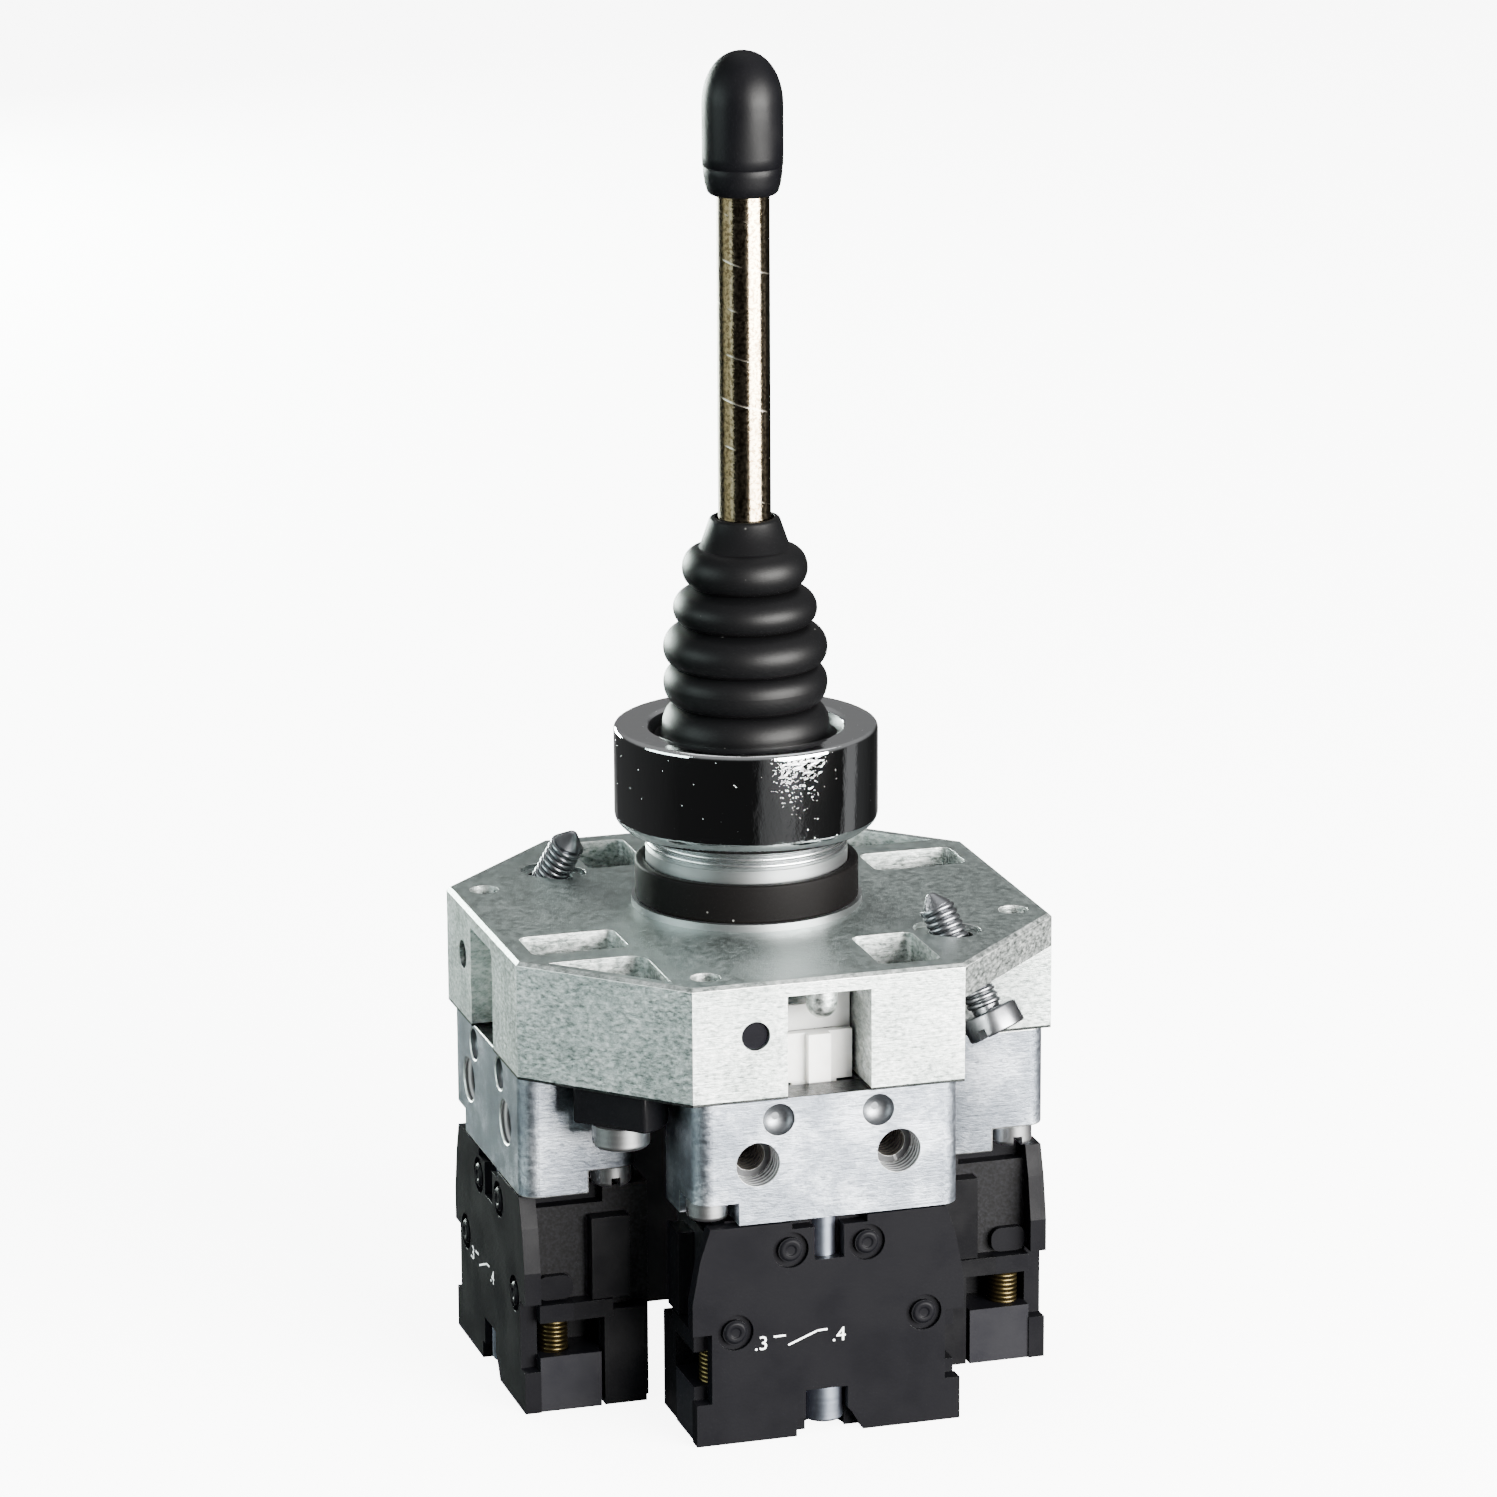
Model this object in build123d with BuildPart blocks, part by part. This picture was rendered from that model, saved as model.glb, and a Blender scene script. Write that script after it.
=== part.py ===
from build123d import *
import os
from math import cos, radians, sin, sqrt, tan

os.makedirs("parts", exist_ok=True)

# Industrial joystick: a lever on a gimbal in a 22 mm panel neck, an octagonal plate,
# and on each of its four sides a carrier with a contact block under it.
# Millimetres, +Z up, origin on the ground plane of the block feet, on the lever's axis.
# Each side piece is drawn on the front side, where outward is -Y, and then turned.
side_turns = {"front": 0, "right": 90, "back": 180, "left": 270}

# Stack of the four sides, from the feet up; the plate is as deep as the mechanism in it
block_height = 24.4
carrier_height = 13.7
hub_drop = 5.6
hub_above_arms = 1.7
arm_thickness = 2.1
hub_below_arms = 0.3
nut_height = 2.4
stem_end = 0.2
stem_room = 0.7
arm_top = hub_drop + hub_above_arms
hub_height = hub_above_arms + arm_thickness + hub_below_arms
stem_drop = hub_drop + hub_height + nut_height + stem_end
plate_height = stem_drop + stem_room
carrier_top = block_height + carrier_height
plate_top = carrier_top + plate_height

# Plan: each side is as wide as its contact block, and the four blocks stand corner to corner
side_width = 30.0
block_depth = 14.4
block_corner_gap = 0.2
face_setback = 0.4
half_side = side_width / 2
block_inner = half_side + block_corner_gap
face_reach = block_inner + block_depth
plate_half = face_reach + face_setback
plate_width = 2 * plate_half
plate_corner = plate_half - half_side
diagonal = sqrt(0.5)

# Mounting plate
plate_wall = 1.8
plate_edge = 0.4
window_width = 9.2
cavity_radius = 13.0
arm_slot_width = 11.4
corner_wall = 3.7
pocket_width = 6.8
pocket_length = 10.6
pocket_depth = 9.0
pocket_x = 9.8
pocket_inset = 7.3
pocket_corner = 1.0
corner_pocket_depth = 4.5
corner_pocket_wall = 1.3
corner_pocket_inset = 1.4
corner_pocket_radius = 2.0
pocket_reach = face_reach - pocket_inset
ceiling = plate_top - plate_wall

# Carriers
carrier_depth = 12.9
carrier_gap = 0.6
carrier_corner = 2.0
carrier_width = side_width - carrier_gap
carrier_inner = face_reach - carrier_depth

# Gimbal
gimbal_outer = 7.6
gimbal_inner = 5.2
gimbal_half = 2.0
gimbal_room = 0.9
pin_radius = 1.2
pin_fit = 0.05
pin_end_gap = 0.3
pivot_rise = 3.0
pivot_z = plate_top + pivot_rise

# Neck, gasket and ring nut
neck_radius = 11.0
neck_height = 16.5
neck_foot_step = 0.6
neck_flange_rim = 1.6
neck_flange = 0.8
thread_fit = 0.1
gasket_wall = 1.1
gasket_height = 4.2
ring_wall = 3.25
ring_height = 11.3
ring_chamfer = 1.1
ring_edge = 0.6
ring_lip = 2.0
ring_lip_reach = 1.5
ring_mouth_flare = 1.1
neck_bore = gimbal_outer + gimbal_room
neck_foot_radius = neck_radius - neck_foot_step
neck_flange_radius = neck_radius + neck_flange_rim
ring_bore = neck_radius + thread_fit
ring_radius = ring_bore + ring_wall
ring_lip_bore = ring_bore - ring_lip_reach
ring_mouth = ring_lip_bore + ring_mouth_flare
pin_start = gimbal_inner + pin_end_gap
pin_end = neck_radius - pin_end_gap

# Gaiter: each fold and valley is (height above the ring nut's top, radius)
gaiter_flange = 1.45
gaiter_rim = 0.5
gaiter_height = 22.9
gaiter_top_radius = 3.75
gaiter_base_bore = 6.8
gaiter_neck_bore = 4.0
gaiter_collar = 2.2
gaiter_grip = 5.2
gaiter_base = 2.0
gaiter_fit = 0.05
gaiter_shoulder = 19.6
gaiter_shoulder_radius = 4.9
folds = ((-0.2, 9.1), (4.7, 8.9), (8.6, 8.9), (12.9, 7.8), (17.3, 6.8))
valleys = ((2.35, 7.5), (6.6, 7.4), (11.1, 6.6), (15.2, 5.4))
flange_low = plate_top + neck_height
flange_high = flange_low + gaiter_flange
lip_low = flange_high + gaiter_fit
ring_top = lip_low + ring_lip
ring_low = ring_top - ring_height
gaiter_top = ring_top + gaiter_height

# Lever
rod_radius = 2.85
rod_height = 87.5
hub_radius = 4.3
hub_half = 2.2
stem_radius = 2.3
cap_radius = 4.34
cap_crown = 5.7
cap_length = 15.3
cap_dome = 5.7
cap_skirt = ((0, 4), (0.2, 2), (0.45, 0.4), (0.8, 0))
cap_fit = 0.05

# Pusher guides and pushers: the guide stands behind the window, the pusher's tab in front of it
guide_depth = 7.8
guide_thickness = 1.2
guide_fit = 0.1
guide_step = 5.0
guide_step_x = 0.8
guide_bar = 7.9
ear_top = 3.4
ear_bottom = 8.4
ear_margin = 1.8
guide_pin_radius = 1.5
guide_pin_fit = 0.06
guide_pin_offset = 3.5
guide_pin_level = 5.8
guide_pin_inset = 0.5
guide_pin_overrun = 1.2
slide_gap = 0.3
shoulder_gap = 1.0
shoulder_depth = 7.0
shoulder_half = 4.2
web_half = 2.5
web_top = 12.0
tab_thickness = 1.0
tab_top = 7.8
rib_width = 2.5
rib_shift = 0.4
rib_depth = 1.0
peg_radius = 1.67
peg_gap = 0.23
peg_drop = 5.3
pusher_sink = 0.2
guide_half = window_width / 2 - guide_fit
guide_pin_x = window_width / 2 + guide_pin_offset
ear_end = guide_pin_x + ear_margin
tab_half = window_width / 2 - slide_gap
guide_inner = face_reach - guide_depth
guide_pin_end = guide_inner - guide_pin_overrun
shoulder_outer = guide_inner - shoulder_gap
shoulder_inner = shoulder_outer - shoulder_depth
tab_inner = guide_inner + guide_thickness + slide_gap
tab_outer = tab_inner + tab_thickness
peg_reach = tab_outer + rib_depth + peg_gap + peg_radius
pusher_floor = plate_height + pusher_sink

# Actuator cross, levels below the plate's top; its noses press the pushers' shoulders
cross_hub_radius = 5.0
arm_width = 4.0
nose_setback = 2.8
nose_radius = 1.3
nose_rise = 0.3
nose_gap = 0.3
nut_flats = 7.0
tilt_limit = 12.0
nose_reach = shoulder_outer - nose_setback
arm_end = nose_reach + nose_radius
nose_drop = arm_top + arm_thickness - nose_rise
pusher_top = nose_drop + nose_radius + nose_gap
pusher_travel = nose_reach * radians(tilt_limit)

# Screws
carrier_screw_inset = 2.5
carrier_screw_depth = 3.2
carrier_screw_radius = 1.5
carrier_head_radius = 2.2
carrier_head_height = 2.2
notch_depth = 2.5
notch_end_room = 2.6
notch_outer_room = 2.9
notch_inner_room = 3.0
carrier_screw_rise = 6.5
cover_screw_inset = 5.1
cover_screw_radius = 1.75
cover_head_radius = 3.1
cover_head_height = 2.5
cover_screw_rise = 5.0
clamp_tilt = 30.0
clamp_inset = 3.19
clamp_rises = (3.7, 4.9)
clamp_radius = 1.95
clamp_length = 14.0
clamp_tip = 1.9
clamp_head_radius = 3.2
clamp_head_height = 2.6
clamp_hole_fit = 0.25
clamp_recess_length = 7.6
clamp_recess_width = 5.2
clamp_recess_depth = 0.6
slot_width = 1.0
slot_depth = 1.1
screw_end_gap = 0.5
large_head_edge = 0.5
small_head_edge = 0.3
carrier_screw_x = half_side - carrier_screw_inset
carrier_screw_outer = face_reach - carrier_screw_depth
carrier_screw_inner = carrier_inner + carrier_screw_inset
notch_edge_x = carrier_screw_x - notch_end_room
notch_outer_wall = carrier_screw_outer - notch_outer_room
notch_inner_wall = carrier_screw_inner + notch_inner_room
cover_screw_place = half_side + cover_screw_inset
clamp_reach = half_side / diagonal + clamp_inset

# Bottom cover
cover_thickness = 4.1
cover_gap = 0.4
cover_lug_inset = 0.8
cover_half = carrier_inner - cover_gap
cover_notch_half = shoulder_half + slide_gap
cover_notch_reach = shoulder_inner - cover_gap
cover_lug_radius = cover_screw_place - carrier_width / 2 - cover_gap

# Contact block, in depths behind its face, drops below its top and heights above its feet
face_thickness = 1.8
parting_top_depth = 9.4
parting_knee_depth = 6.6
parting_low_depth = 5.6
parting_drop = 7.4
parting_slope = 0.7
foot_depth = 8.6
core_inset = 2.4
core_top_inset = 4.0
core_top_drop = 1.8
end_inset = 0.5
wing_inset = 0.6
window_low = 6.2
window_high = 10.1
window_depth = 8.9
window_length = 5.7
ledge_top = 12.1
ledge_depth = 10.0
upper_wing_depths = (11.9, 7.7)
upper_wing_low = 12.2
upper_wing_drop = 3.0
lower_wing_depths = (13.7, 9.0)
lower_wing_top = 10.9
ridge_level = 13.65
ridge_height = 2.7
ridge_depth = 5.8
ridge_inset = 1.5
ridge_radius = 1.1
block_core_outer = face_reach - face_thickness
parting_top = face_reach - parting_top_depth
parting_low = face_reach - parting_low_depth
parting_level = block_height - parting_drop
parting_knee = face_reach - parting_knee_depth
parting_step = ((parting_top, parting_level), (parting_knee, parting_level - parting_slope),
                (parting_low, ledge_top), (parting_low, window_low))
foot_inner = face_reach - foot_depth
core_half = half_side - core_inset
core_end_top = block_height - core_top_drop
core_top_half = half_side - core_top_inset
end_half = half_side - end_inset
wing_half = half_side - wing_inset
window_inner = face_reach - window_depth
window_start = half_side - window_length
ledge_inner = face_reach - ledge_depth
ridge_inner = face_reach - ridge_depth
ridge_half = half_side - ridge_inset

# Contacts, plunger and spring inside a block, about the plunger's axis
plunger_depth = 7.5
plunger_radius = 2.3
plunger_fit = 0.1
plunger_rise = 4.1
plunger_low = 12.6
chamber_wall = 0.7
chamber_room = 2.6
chamber_low = 5.0
chamber_drop = 3.4
strip_thickness = 0.8
strip_arm_half = 1.5
strip_end_inset = 1.0
strip_face_gap = 0.1
strip_fit = 0.05
button_radius = 1.3
button_height = 0.4
bridge_end_gap = 0.4
button_inset = 1.4
bridge_width = 3.4
bridge_thickness = 0.8
open_contact_gap = 0.35
terminal_inset = 3.4
terminal_depth = 3.9
terminal_radius = 1.7
terminal_fit = 0.05
terminal_head_radius = 2.3
terminal_head_low = 1.0
terminal_head_high = 3.4
terminal_rise = 0.5
fixing_depth = 2.4
fixing_radius = 1.4
fixing_fit = 0.1
fixing_head_radius = 2.15
fixing_head_low = 1.1
fixing_head_height = 3.9
fixing_rise = 6.0
spring_radius = 1.75
wire_radius = 0.3
spring_turns = 4
plunger_reach = face_reach - plunger_depth
plunger_top = block_height + plunger_rise
chamber_inner = plunger_reach - chamber_room
chamber_outer = plunger_reach + chamber_room
chamber_high = block_height - chamber_drop
chamber_half = window_start - chamber_wall
bridge_half = chamber_half - bridge_end_gap
button_x = bridge_half - button_inset
strip_start = button_x - button_inset
strip_inner = plunger_reach - strip_arm_half
strip_arm_outer = plunger_reach + strip_arm_half
strip_outer = block_core_outer - strip_face_gap
strip_end = half_side - strip_end_inset
strip_top = window_high + strip_thickness
button_top = strip_top + button_height
bridge_low = button_top + pusher_travel + open_contact_gap + button_height
terminal_x = half_side - terminal_inset
terminal_reach = face_reach - terminal_depth
fixing_reach = face_reach - fixing_depth

# Shaft and recess in a carrier, round the pusher's stem and tab
recess_gap = 0.4
recess_floor_gap = 0.43
stem_inner = plunger_reach - plunger_radius
stem_outer = plunger_reach + plunger_radius
shaft_half = web_half + slide_gap
recess_half = tab_half + slide_gap
recess_depth = pusher_sink + pusher_travel + recess_floor_gap
recess_outer = tab_outer + rib_depth + recess_gap
side_hole_x = 7.8
side_hole_level = 20.1
side_hole_radius = 2.4
side_hole_depth = 3.2
side_thread_radius = 1.65
side_thread_depth = 9.0
dimple_x = 5.5
dimple_level = 15.35
dimple_radius = 1.75
dimple_depth = 1.4

# A block's face: (inset from the side's end, height) up to the shoulder, then (inset, drop) to the top
face_lower = ((0.3, 0), (0.3, 4.7), (2.0, 4.7), (2.0, 12.5), (-0.1, 12.5), (-0.1, 16.1))
face_upper = ((0.8, 3.5), (1.9, 0.2))
foot_notch = ((-3.6, 0), (-3.6, 2.0), (-2.6, 2.0), (-2.6, 5.1), (2.1, 5.1), (2.1, 2.6), (2.5, 2.2), (3.8, 0))
top_notch = ((-4.1, 0), (-4.1, 1.0), (-1.6, 1.0), (-1.6, 4.7), (1.7, 4.7), (1.7, 1.0), (4.3, 1.0), (4.3, 0))
upper_rivets = ((-4.25, 3.3), (4.25, 3.3))
lower_rivets = ((10.6, 12.5), (-10.4, 12.5))
rivet_recess = 2.0
rivet_radius = 1.35
rivet_depth = 0.5


def write_piece(piece, name):
    piece.label = name
    export_step(piece, f"parts/{name}.step")


def write_sides(piece, name):
    for side, turn in side_turns.items():
        write_piece(piece.rotate(Axis.Z, turn), f"{name}_{side}")


def turned_group(piece):
    with BuildPart() as group:
        for turn in side_turns.values():
            add(piece.rotate(Axis.Z, turn))
    return group.part


def side_plane(turn, reach):
    # The plane of a side's face: x along the face, y up, its normal outward
    along = Vector(cos(radians(turn)), sin(radians(turn)), 0)
    outward = Vector(sin(radians(turn)), -cos(radians(turn)), 0)
    return Plane(origin=outward * reach, x_dir=along, z_dir=outward)


def reach_profile(points):
    # A section of a front piece, given as (outward distance, height)
    return [(-reach, height) for reach, height in points]


def between(inner, outer, half_width):
    # A rectangle in plan, centred on the front side's middle, between two distances from the axis
    with Locations((0, -(inner + outer) / 2)):
        Rectangle(2 * half_width, outer - inner)


def clamp_plane(corner, rise):
    # The plane at a clamp screw's tip, its normal along the screw, up and inward
    reach = clamp_reach - rise * tan(radians(clamp_tilt))
    outward = Vector(corner * diagonal, -corner * diagonal, 0)
    axis = outward * -sin(radians(clamp_tilt)) + Vector(0, 0, cos(radians(clamp_tilt)))
    return Plane(origin=outward * reach + Vector(0, 0, plate_top + rise), z_dir=axis)


def pan_screw(shank_radius, shank_length, head_radius, head_height, head_edge):
    # Head down: the head's bearing face lies on z = 0 and the shank stands above it
    with BuildPart() as screw:
        with Locations((0, 0, shank_length / 2)):
            Cylinder(shank_radius, shank_length)
        with Locations((0, 0, -head_height / 2)):
            Cylinder(head_radius, head_height)
        fillet(screw.edges().sort_by(Axis.Z)[0], radius=head_edge)
        with Locations((0, 0, -head_height)):
            Box(2 * head_radius, slot_width, 2 * slot_depth, mode=Mode.SUBTRACT)
    return screw.part


# Mounting plate: an octagonal casting with pockets above and the mechanism's room below
with BuildPart() as plate:
    with BuildSketch(Plane.XY.offset(carrier_top)) as outline:
        Rectangle(plate_width, plate_width)
        chamfer(outline.vertices(), length=plate_corner)
    extrude(amount=plate_height)
    chamfer(plate.faces().sort_by(Axis.Z)[-1].edges(), length=plate_edge)

    # Room for the cross and its four arms, and the windows in the side faces
    arm_slot_reach = guide_inner - guide_fit
    ear_slot = guide_thickness + 2 * guide_fit
    with BuildSketch(Plane.XY.offset(carrier_top)):
        Circle(cavity_radius)
        Rectangle(2 * arm_slot_reach, arm_slot_width)
        Rectangle(arm_slot_width, 2 * arm_slot_reach)
        Rectangle(plate_width, window_width)
        Rectangle(window_width, plate_width)
    extrude(amount=plate_height - plate_wall, mode=Mode.SUBTRACT)
    with BuildSketch(Plane.XY.offset(carrier_top)):
        with PolarLocations(0, 4):
            with Locations((-ear_end / 2 - guide_fit, -guide_inner - guide_thickness / 2)):
                Rectangle(ear_end + guide_fit, ear_slot)
    extrude(amount=plate_height - ear_top + guide_fit, mode=Mode.SUBTRACT)

    # The two screw corners are only a thin roof over the clamp screws' heads
    with BuildSketch(Plane.XY.offset(carrier_top)):
        with Locations((plate_half, -plate_half), (-plate_half, plate_half)):
            Rectangle(2 * plate_corner, 2 * plate_corner)
    extrude(amount=plate_height - corner_wall, mode=Mode.SUBTRACT)

    # Pockets in the top, one beside each window and one in each full corner
    with BuildSketch(Plane.XY.offset(plate_top)):
        with PolarLocations(0, 4):
            with Locations((pocket_x, -pocket_reach)):
                RectangleRounded(pocket_width, pocket_length, pocket_corner)
    extrude(amount=-pocket_depth, mode=Mode.SUBTRACT)
    pocket_low = half_side + corner_pocket_inset
    pocket_high = plate_width - plate_corner - corner_pocket_wall / diagonal - pocket_low
    with BuildSketch(Plane.XY.offset(plate_top)) as corner_pockets:
        with BuildLine():
            Polyline((-pocket_low, -pocket_low), (-pocket_high, -pocket_low),
                     (-pocket_low, -pocket_high), close=True)
        make_face()
        fillet(corner_pockets.vertices().sort_by(SortBy.DISTANCE)[0], radius=corner_pocket_radius)
        mirror(about=Plane(origin=(0, 0, 0), z_dir=(1, 1, 0)))
    extrude(amount=-corner_pocket_depth, mode=Mode.SUBTRACT)

    # Screw holes, guide pin holes and the bore for the neck's foot
    with BuildSketch(Plane.XY.offset(carrier_top)):
        with PolarLocations(0, 4):
            with Locations((-carrier_screw_x, -carrier_screw_outer)):
                Circle(carrier_screw_radius + thread_fit)
    extrude(amount=plate_height, mode=Mode.SUBTRACT)
    with BuildSketch(Plane.XY.offset(carrier_top)):
        with PolarLocations(0, 4):
            with Locations((carrier_screw_x, -carrier_screw_inner)):
                Circle(carrier_screw_radius + thread_fit)
    extrude(amount=plate_height - pocket_depth, mode=Mode.SUBTRACT)
    with BuildSketch(Plane.XY.offset(carrier_top)):
        with Locations((-cover_screw_place, -cover_screw_place), (cover_screw_place, cover_screw_place)):
            Circle(cover_screw_radius + thread_fit)
    extrude(amount=cover_screw_rise + thread_fit, mode=Mode.SUBTRACT)
    for turn in side_turns.values():
        with BuildSketch(side_plane(turn, plate_half)):
            with Locations((-guide_pin_x, plate_top - guide_pin_level)):
                Circle(guide_pin_radius + guide_pin_fit)
        extrude(amount=guide_pin_end - plate_half, mode=Mode.SUBTRACT)
    with BuildSketch(Plane.XY.offset(plate_top)):
        Circle(neck_foot_radius)
    extrude(amount=-plate_wall, mode=Mode.SUBTRACT)
    for corner, rise in zip((1, -1), clamp_rises):
        with Locations(clamp_plane(corner, rise)):
            Cylinder(clamp_radius + clamp_hole_fit, 4 * clamp_length, mode=Mode.SUBTRACT)
        with BuildSketch(Plane.XY.offset(plate_top)):
            clamp_place = corner * clamp_reach * diagonal
            with Locations(Location((clamp_place, -clamp_place), -45)):
                SlotOverall(clamp_recess_length, clamp_recess_width)
        extrude(amount=-clamp_recess_depth, mode=Mode.SUBTRACT)

    # A round-nosed stop peg hangs in each window, and a lug beside the guide's step
    peg_length = peg_drop - plate_wall - peg_radius
    lug_end = guide_step_x - guide_fit
    lug_length = lug_end + window_width / 2
    lug_height = guide_step - plate_wall - guide_fit
    guide_middle = -guide_inner - guide_thickness / 2
    with PolarLocations(0, 4):
        with Locations((0, -peg_reach, ceiling - peg_length / 2)):
            Cylinder(peg_radius, peg_length)
        with Locations((0, -peg_reach, ceiling - peg_length)):
            Sphere(peg_radius)
        with Locations((lug_end - lug_length / 2, guide_middle, ceiling - lug_height / 2)):
            Box(lug_length, guide_thickness, lug_height)
write_piece(plate.part, "mounting_plate")

# Threaded neck: a turned bushing whose foot sits in the plate's bore
neck_top = plate_top + neck_height
with BuildPart() as neck:
    with BuildSketch(Plane.XZ):
        with BuildLine():
            Polyline((neck_bore, ceiling), (neck_foot_radius, ceiling), (neck_foot_radius, plate_top),
                     (neck_flange_radius, plate_top), (neck_flange_radius, plate_top + neck_flange),
                     (neck_radius, plate_top + neck_flange), (neck_radius, neck_top),
                     (neck_bore, neck_top), close=True)
        make_face()
    revolve(axis=Axis.Z)
    with BuildSketch(Plane.YZ):
        with Locations((0, pivot_z)):
            Circle(pin_radius)
    extrude(amount=neck_flange_radius, both=True, mode=Mode.SUBTRACT)
write_piece(neck.part, "threaded_neck")

# Panel gasket on the neck's flange
gasket_low = plate_top + neck_flange
gasket_bore = neck_radius + thread_fit
with BuildPart() as gasket:
    with BuildSketch(Plane.XY.offset(gasket_low)):
        Circle(gasket_bore + gasket_wall)
        Circle(gasket_bore, mode=Mode.SUBTRACT)
    extrude(amount=gasket_height)
    fillet(gasket.edges().filter_by(GeomType.CIRCLE).sort_by(SortBy.RADIUS)[-2:], radius=gasket_wall / 4)
write_piece(gasket.part, "panel_gasket")

# Ring nut: its lip holds the gaiter's flange down on the neck
with BuildPart() as ring:
    with BuildSketch(Plane.XZ):
        with BuildLine():
            Polyline((ring_radius, ring_top - ring_edge), (ring_radius, ring_low + ring_chamfer),
                     (ring_radius - ring_chamfer, ring_low), (ring_bore, ring_low), (ring_bore, lip_low),
                     (ring_lip_bore, lip_low), (ring_mouth, ring_top), (ring_radius - ring_edge, ring_top))
            RadiusArc((ring_radius - ring_edge, ring_top), (ring_radius, ring_top - ring_edge), ring_edge)
        make_face()
    revolve(axis=Axis.Z)
write_piece(ring.part, "ring_nut")

# Gaiter: five round folds over a wide base, and a straight collar that grips the rod
gaiter_foot_radius = neck_radius - gaiter_rim
gaiter_bore = rod_radius + gaiter_fit
shoulder_end = (gaiter_shoulder_radius, ring_top + gaiter_shoulder)
with BuildPart() as gaiter:
    with BuildSketch(Plane.XZ):
        with BuildLine():
            outer = [(valleys[0][1], flange_high)]
            for (fold, fold_radius), (valley, valley_radius) in zip(folds, valleys):
                outer += [(fold_radius, ring_top + fold), (valley_radius, ring_top + valley)]
            outer.append((folds[-1][1], ring_top + folds[-1][0]))
            for low, high in zip(outer, outer[1:]):
                middle = ((low[0] + high[0]) / 2, (low[1] + high[1]) / 2)
                Spline(low, middle, high, tangents=((0, 1), (0, 1)))
            Spline(outer[-1], shoulder_end, tangents=((0, 1), (-1, 0)))
            Polyline(shoulder_end, (gaiter_top_radius, gaiter_top), (gaiter_bore, gaiter_top),
                     (gaiter_bore, gaiter_top - gaiter_collar), (gaiter_neck_bore, gaiter_top - gaiter_grip),
                     (gaiter_base_bore, flange_low + gaiter_base), (gaiter_base_bore, flange_low),
                     (gaiter_foot_radius, flange_low), (gaiter_foot_radius, flange_high), outer[0])
        make_face()
    revolve(axis=Axis.Z)
write_piece(gaiter.part, "gaiter")

# Lever: one turned rod with the hub that the gimbal's axle runs through
with BuildPart() as rod:
    with BuildSketch(Plane.XZ):
        with BuildLine():
            Polyline((0, plate_top - stem_drop), (stem_radius, plate_top - stem_drop),
                     (stem_radius, pivot_z - hub_half), (hub_radius, pivot_z - hub_half),
                     (hub_radius, pivot_z + hub_half), (rod_radius, pivot_z + hub_half),
                     (rod_radius, plate_top + rod_height), (0, plate_top + rod_height), close=True)
        make_face()
    revolve(axis=Axis.Z)
    with BuildSketch(Plane.XZ):
        with Locations((0, pivot_z)):
            Circle(pin_radius + pin_fit)
    extrude(amount=2 * hub_radius, both=True, mode=Mode.SUBTRACT)
write_piece(rod.part, "lever_rod")

# Grip cap: a dome over a cylinder, its skirt drawn in at the bottom
cap_top = plate_top + rod_height + cap_crown
cap_low = cap_top - cap_length
with BuildPart() as cap:
    with BuildSketch(Plane.XZ):
        with BuildLine():
            Spline((cap_radius, cap_top - cap_dome), (0, cap_top), tangents=((0, 1), (-1, 0)))
            Polyline((cap_radius, cap_top - cap_dome),
                     *[(cap_radius - inset, cap_low + rise) for inset, rise in cap_skirt],
                     (rod_radius + cap_fit, cap_low), (rod_radius + cap_fit, plate_top + rod_height),
                     (0, plate_top + rod_height), (0, cap_top))
        make_face()
    revolve(axis=Axis.Z)
write_piece(cap.part, "grip_cap")

# Gimbal: a ring that tips about X on two pins, with the lever's axle along Y
with BuildPart() as gimbal:
    with BuildSketch(Plane.XY.offset(pivot_z - gimbal_half)):
        Circle(gimbal_outer)
        Circle(gimbal_inner, mode=Mode.SUBTRACT)
    extrude(amount=2 * gimbal_half)
    with BuildSketch(Plane.YZ):
        with Locations((0, pivot_z)):
            Circle(pin_radius + pin_fit)
    extrude(amount=2 * gimbal_outer, both=True, mode=Mode.SUBTRACT)
    with BuildSketch(Plane.XZ):
        with Locations((0, pivot_z)):
            Circle(pin_radius)
    extrude(amount=2 * gimbal_outer, both=True, mode=Mode.SUBTRACT)
write_piece(gimbal.part, "gimbal_ring")

with BuildPart() as gimbal_pins:
    for reach in (pin_start, -pin_end):
        with BuildSketch(Plane.YZ.offset(reach)):
            with Locations((0, pivot_z)):
                Circle(pin_radius)
        extrude(amount=pin_end - pin_start)
write_piece(gimbal_pins.part, "gimbal_pins")

with BuildPart() as axle:
    with BuildSketch(Plane.XZ):
        with Locations((0, pivot_z)):
            Circle(pin_radius)
    extrude(amount=gimbal_outer - pin_fit, both=True)
write_piece(axle.part, "gimbal_axle")

# Actuator cross on the lever's stem: four arms, each with a round nose over a pusher
with BuildPart() as cross:
    with BuildSketch(Plane.XY.offset(plate_top - arm_top)):
        Rectangle(2 * arm_end, arm_width)
        Rectangle(arm_width, 2 * arm_end)
    extrude(amount=-arm_thickness)
    fillet(cross.edges().filter_by(Axis.Z).group_by(SortBy.DISTANCE)[-1], radius=arm_width / 4)
    with BuildSketch(Plane.XY.offset(plate_top - hub_drop)):
        Circle(cross_hub_radius)
    extrude(amount=-hub_height)
    with PolarLocations(nose_reach, 4):
        with Locations((0, 0, plate_top - nose_drop)):
            Sphere(nose_radius)
    with BuildSketch(Plane.XY.offset(plate_top - hub_drop)):
        Circle(stem_radius + pin_fit)
    extrude(amount=-hub_height, mode=Mode.SUBTRACT)
write_piece(cross.part, "actuator_cross")

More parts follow.
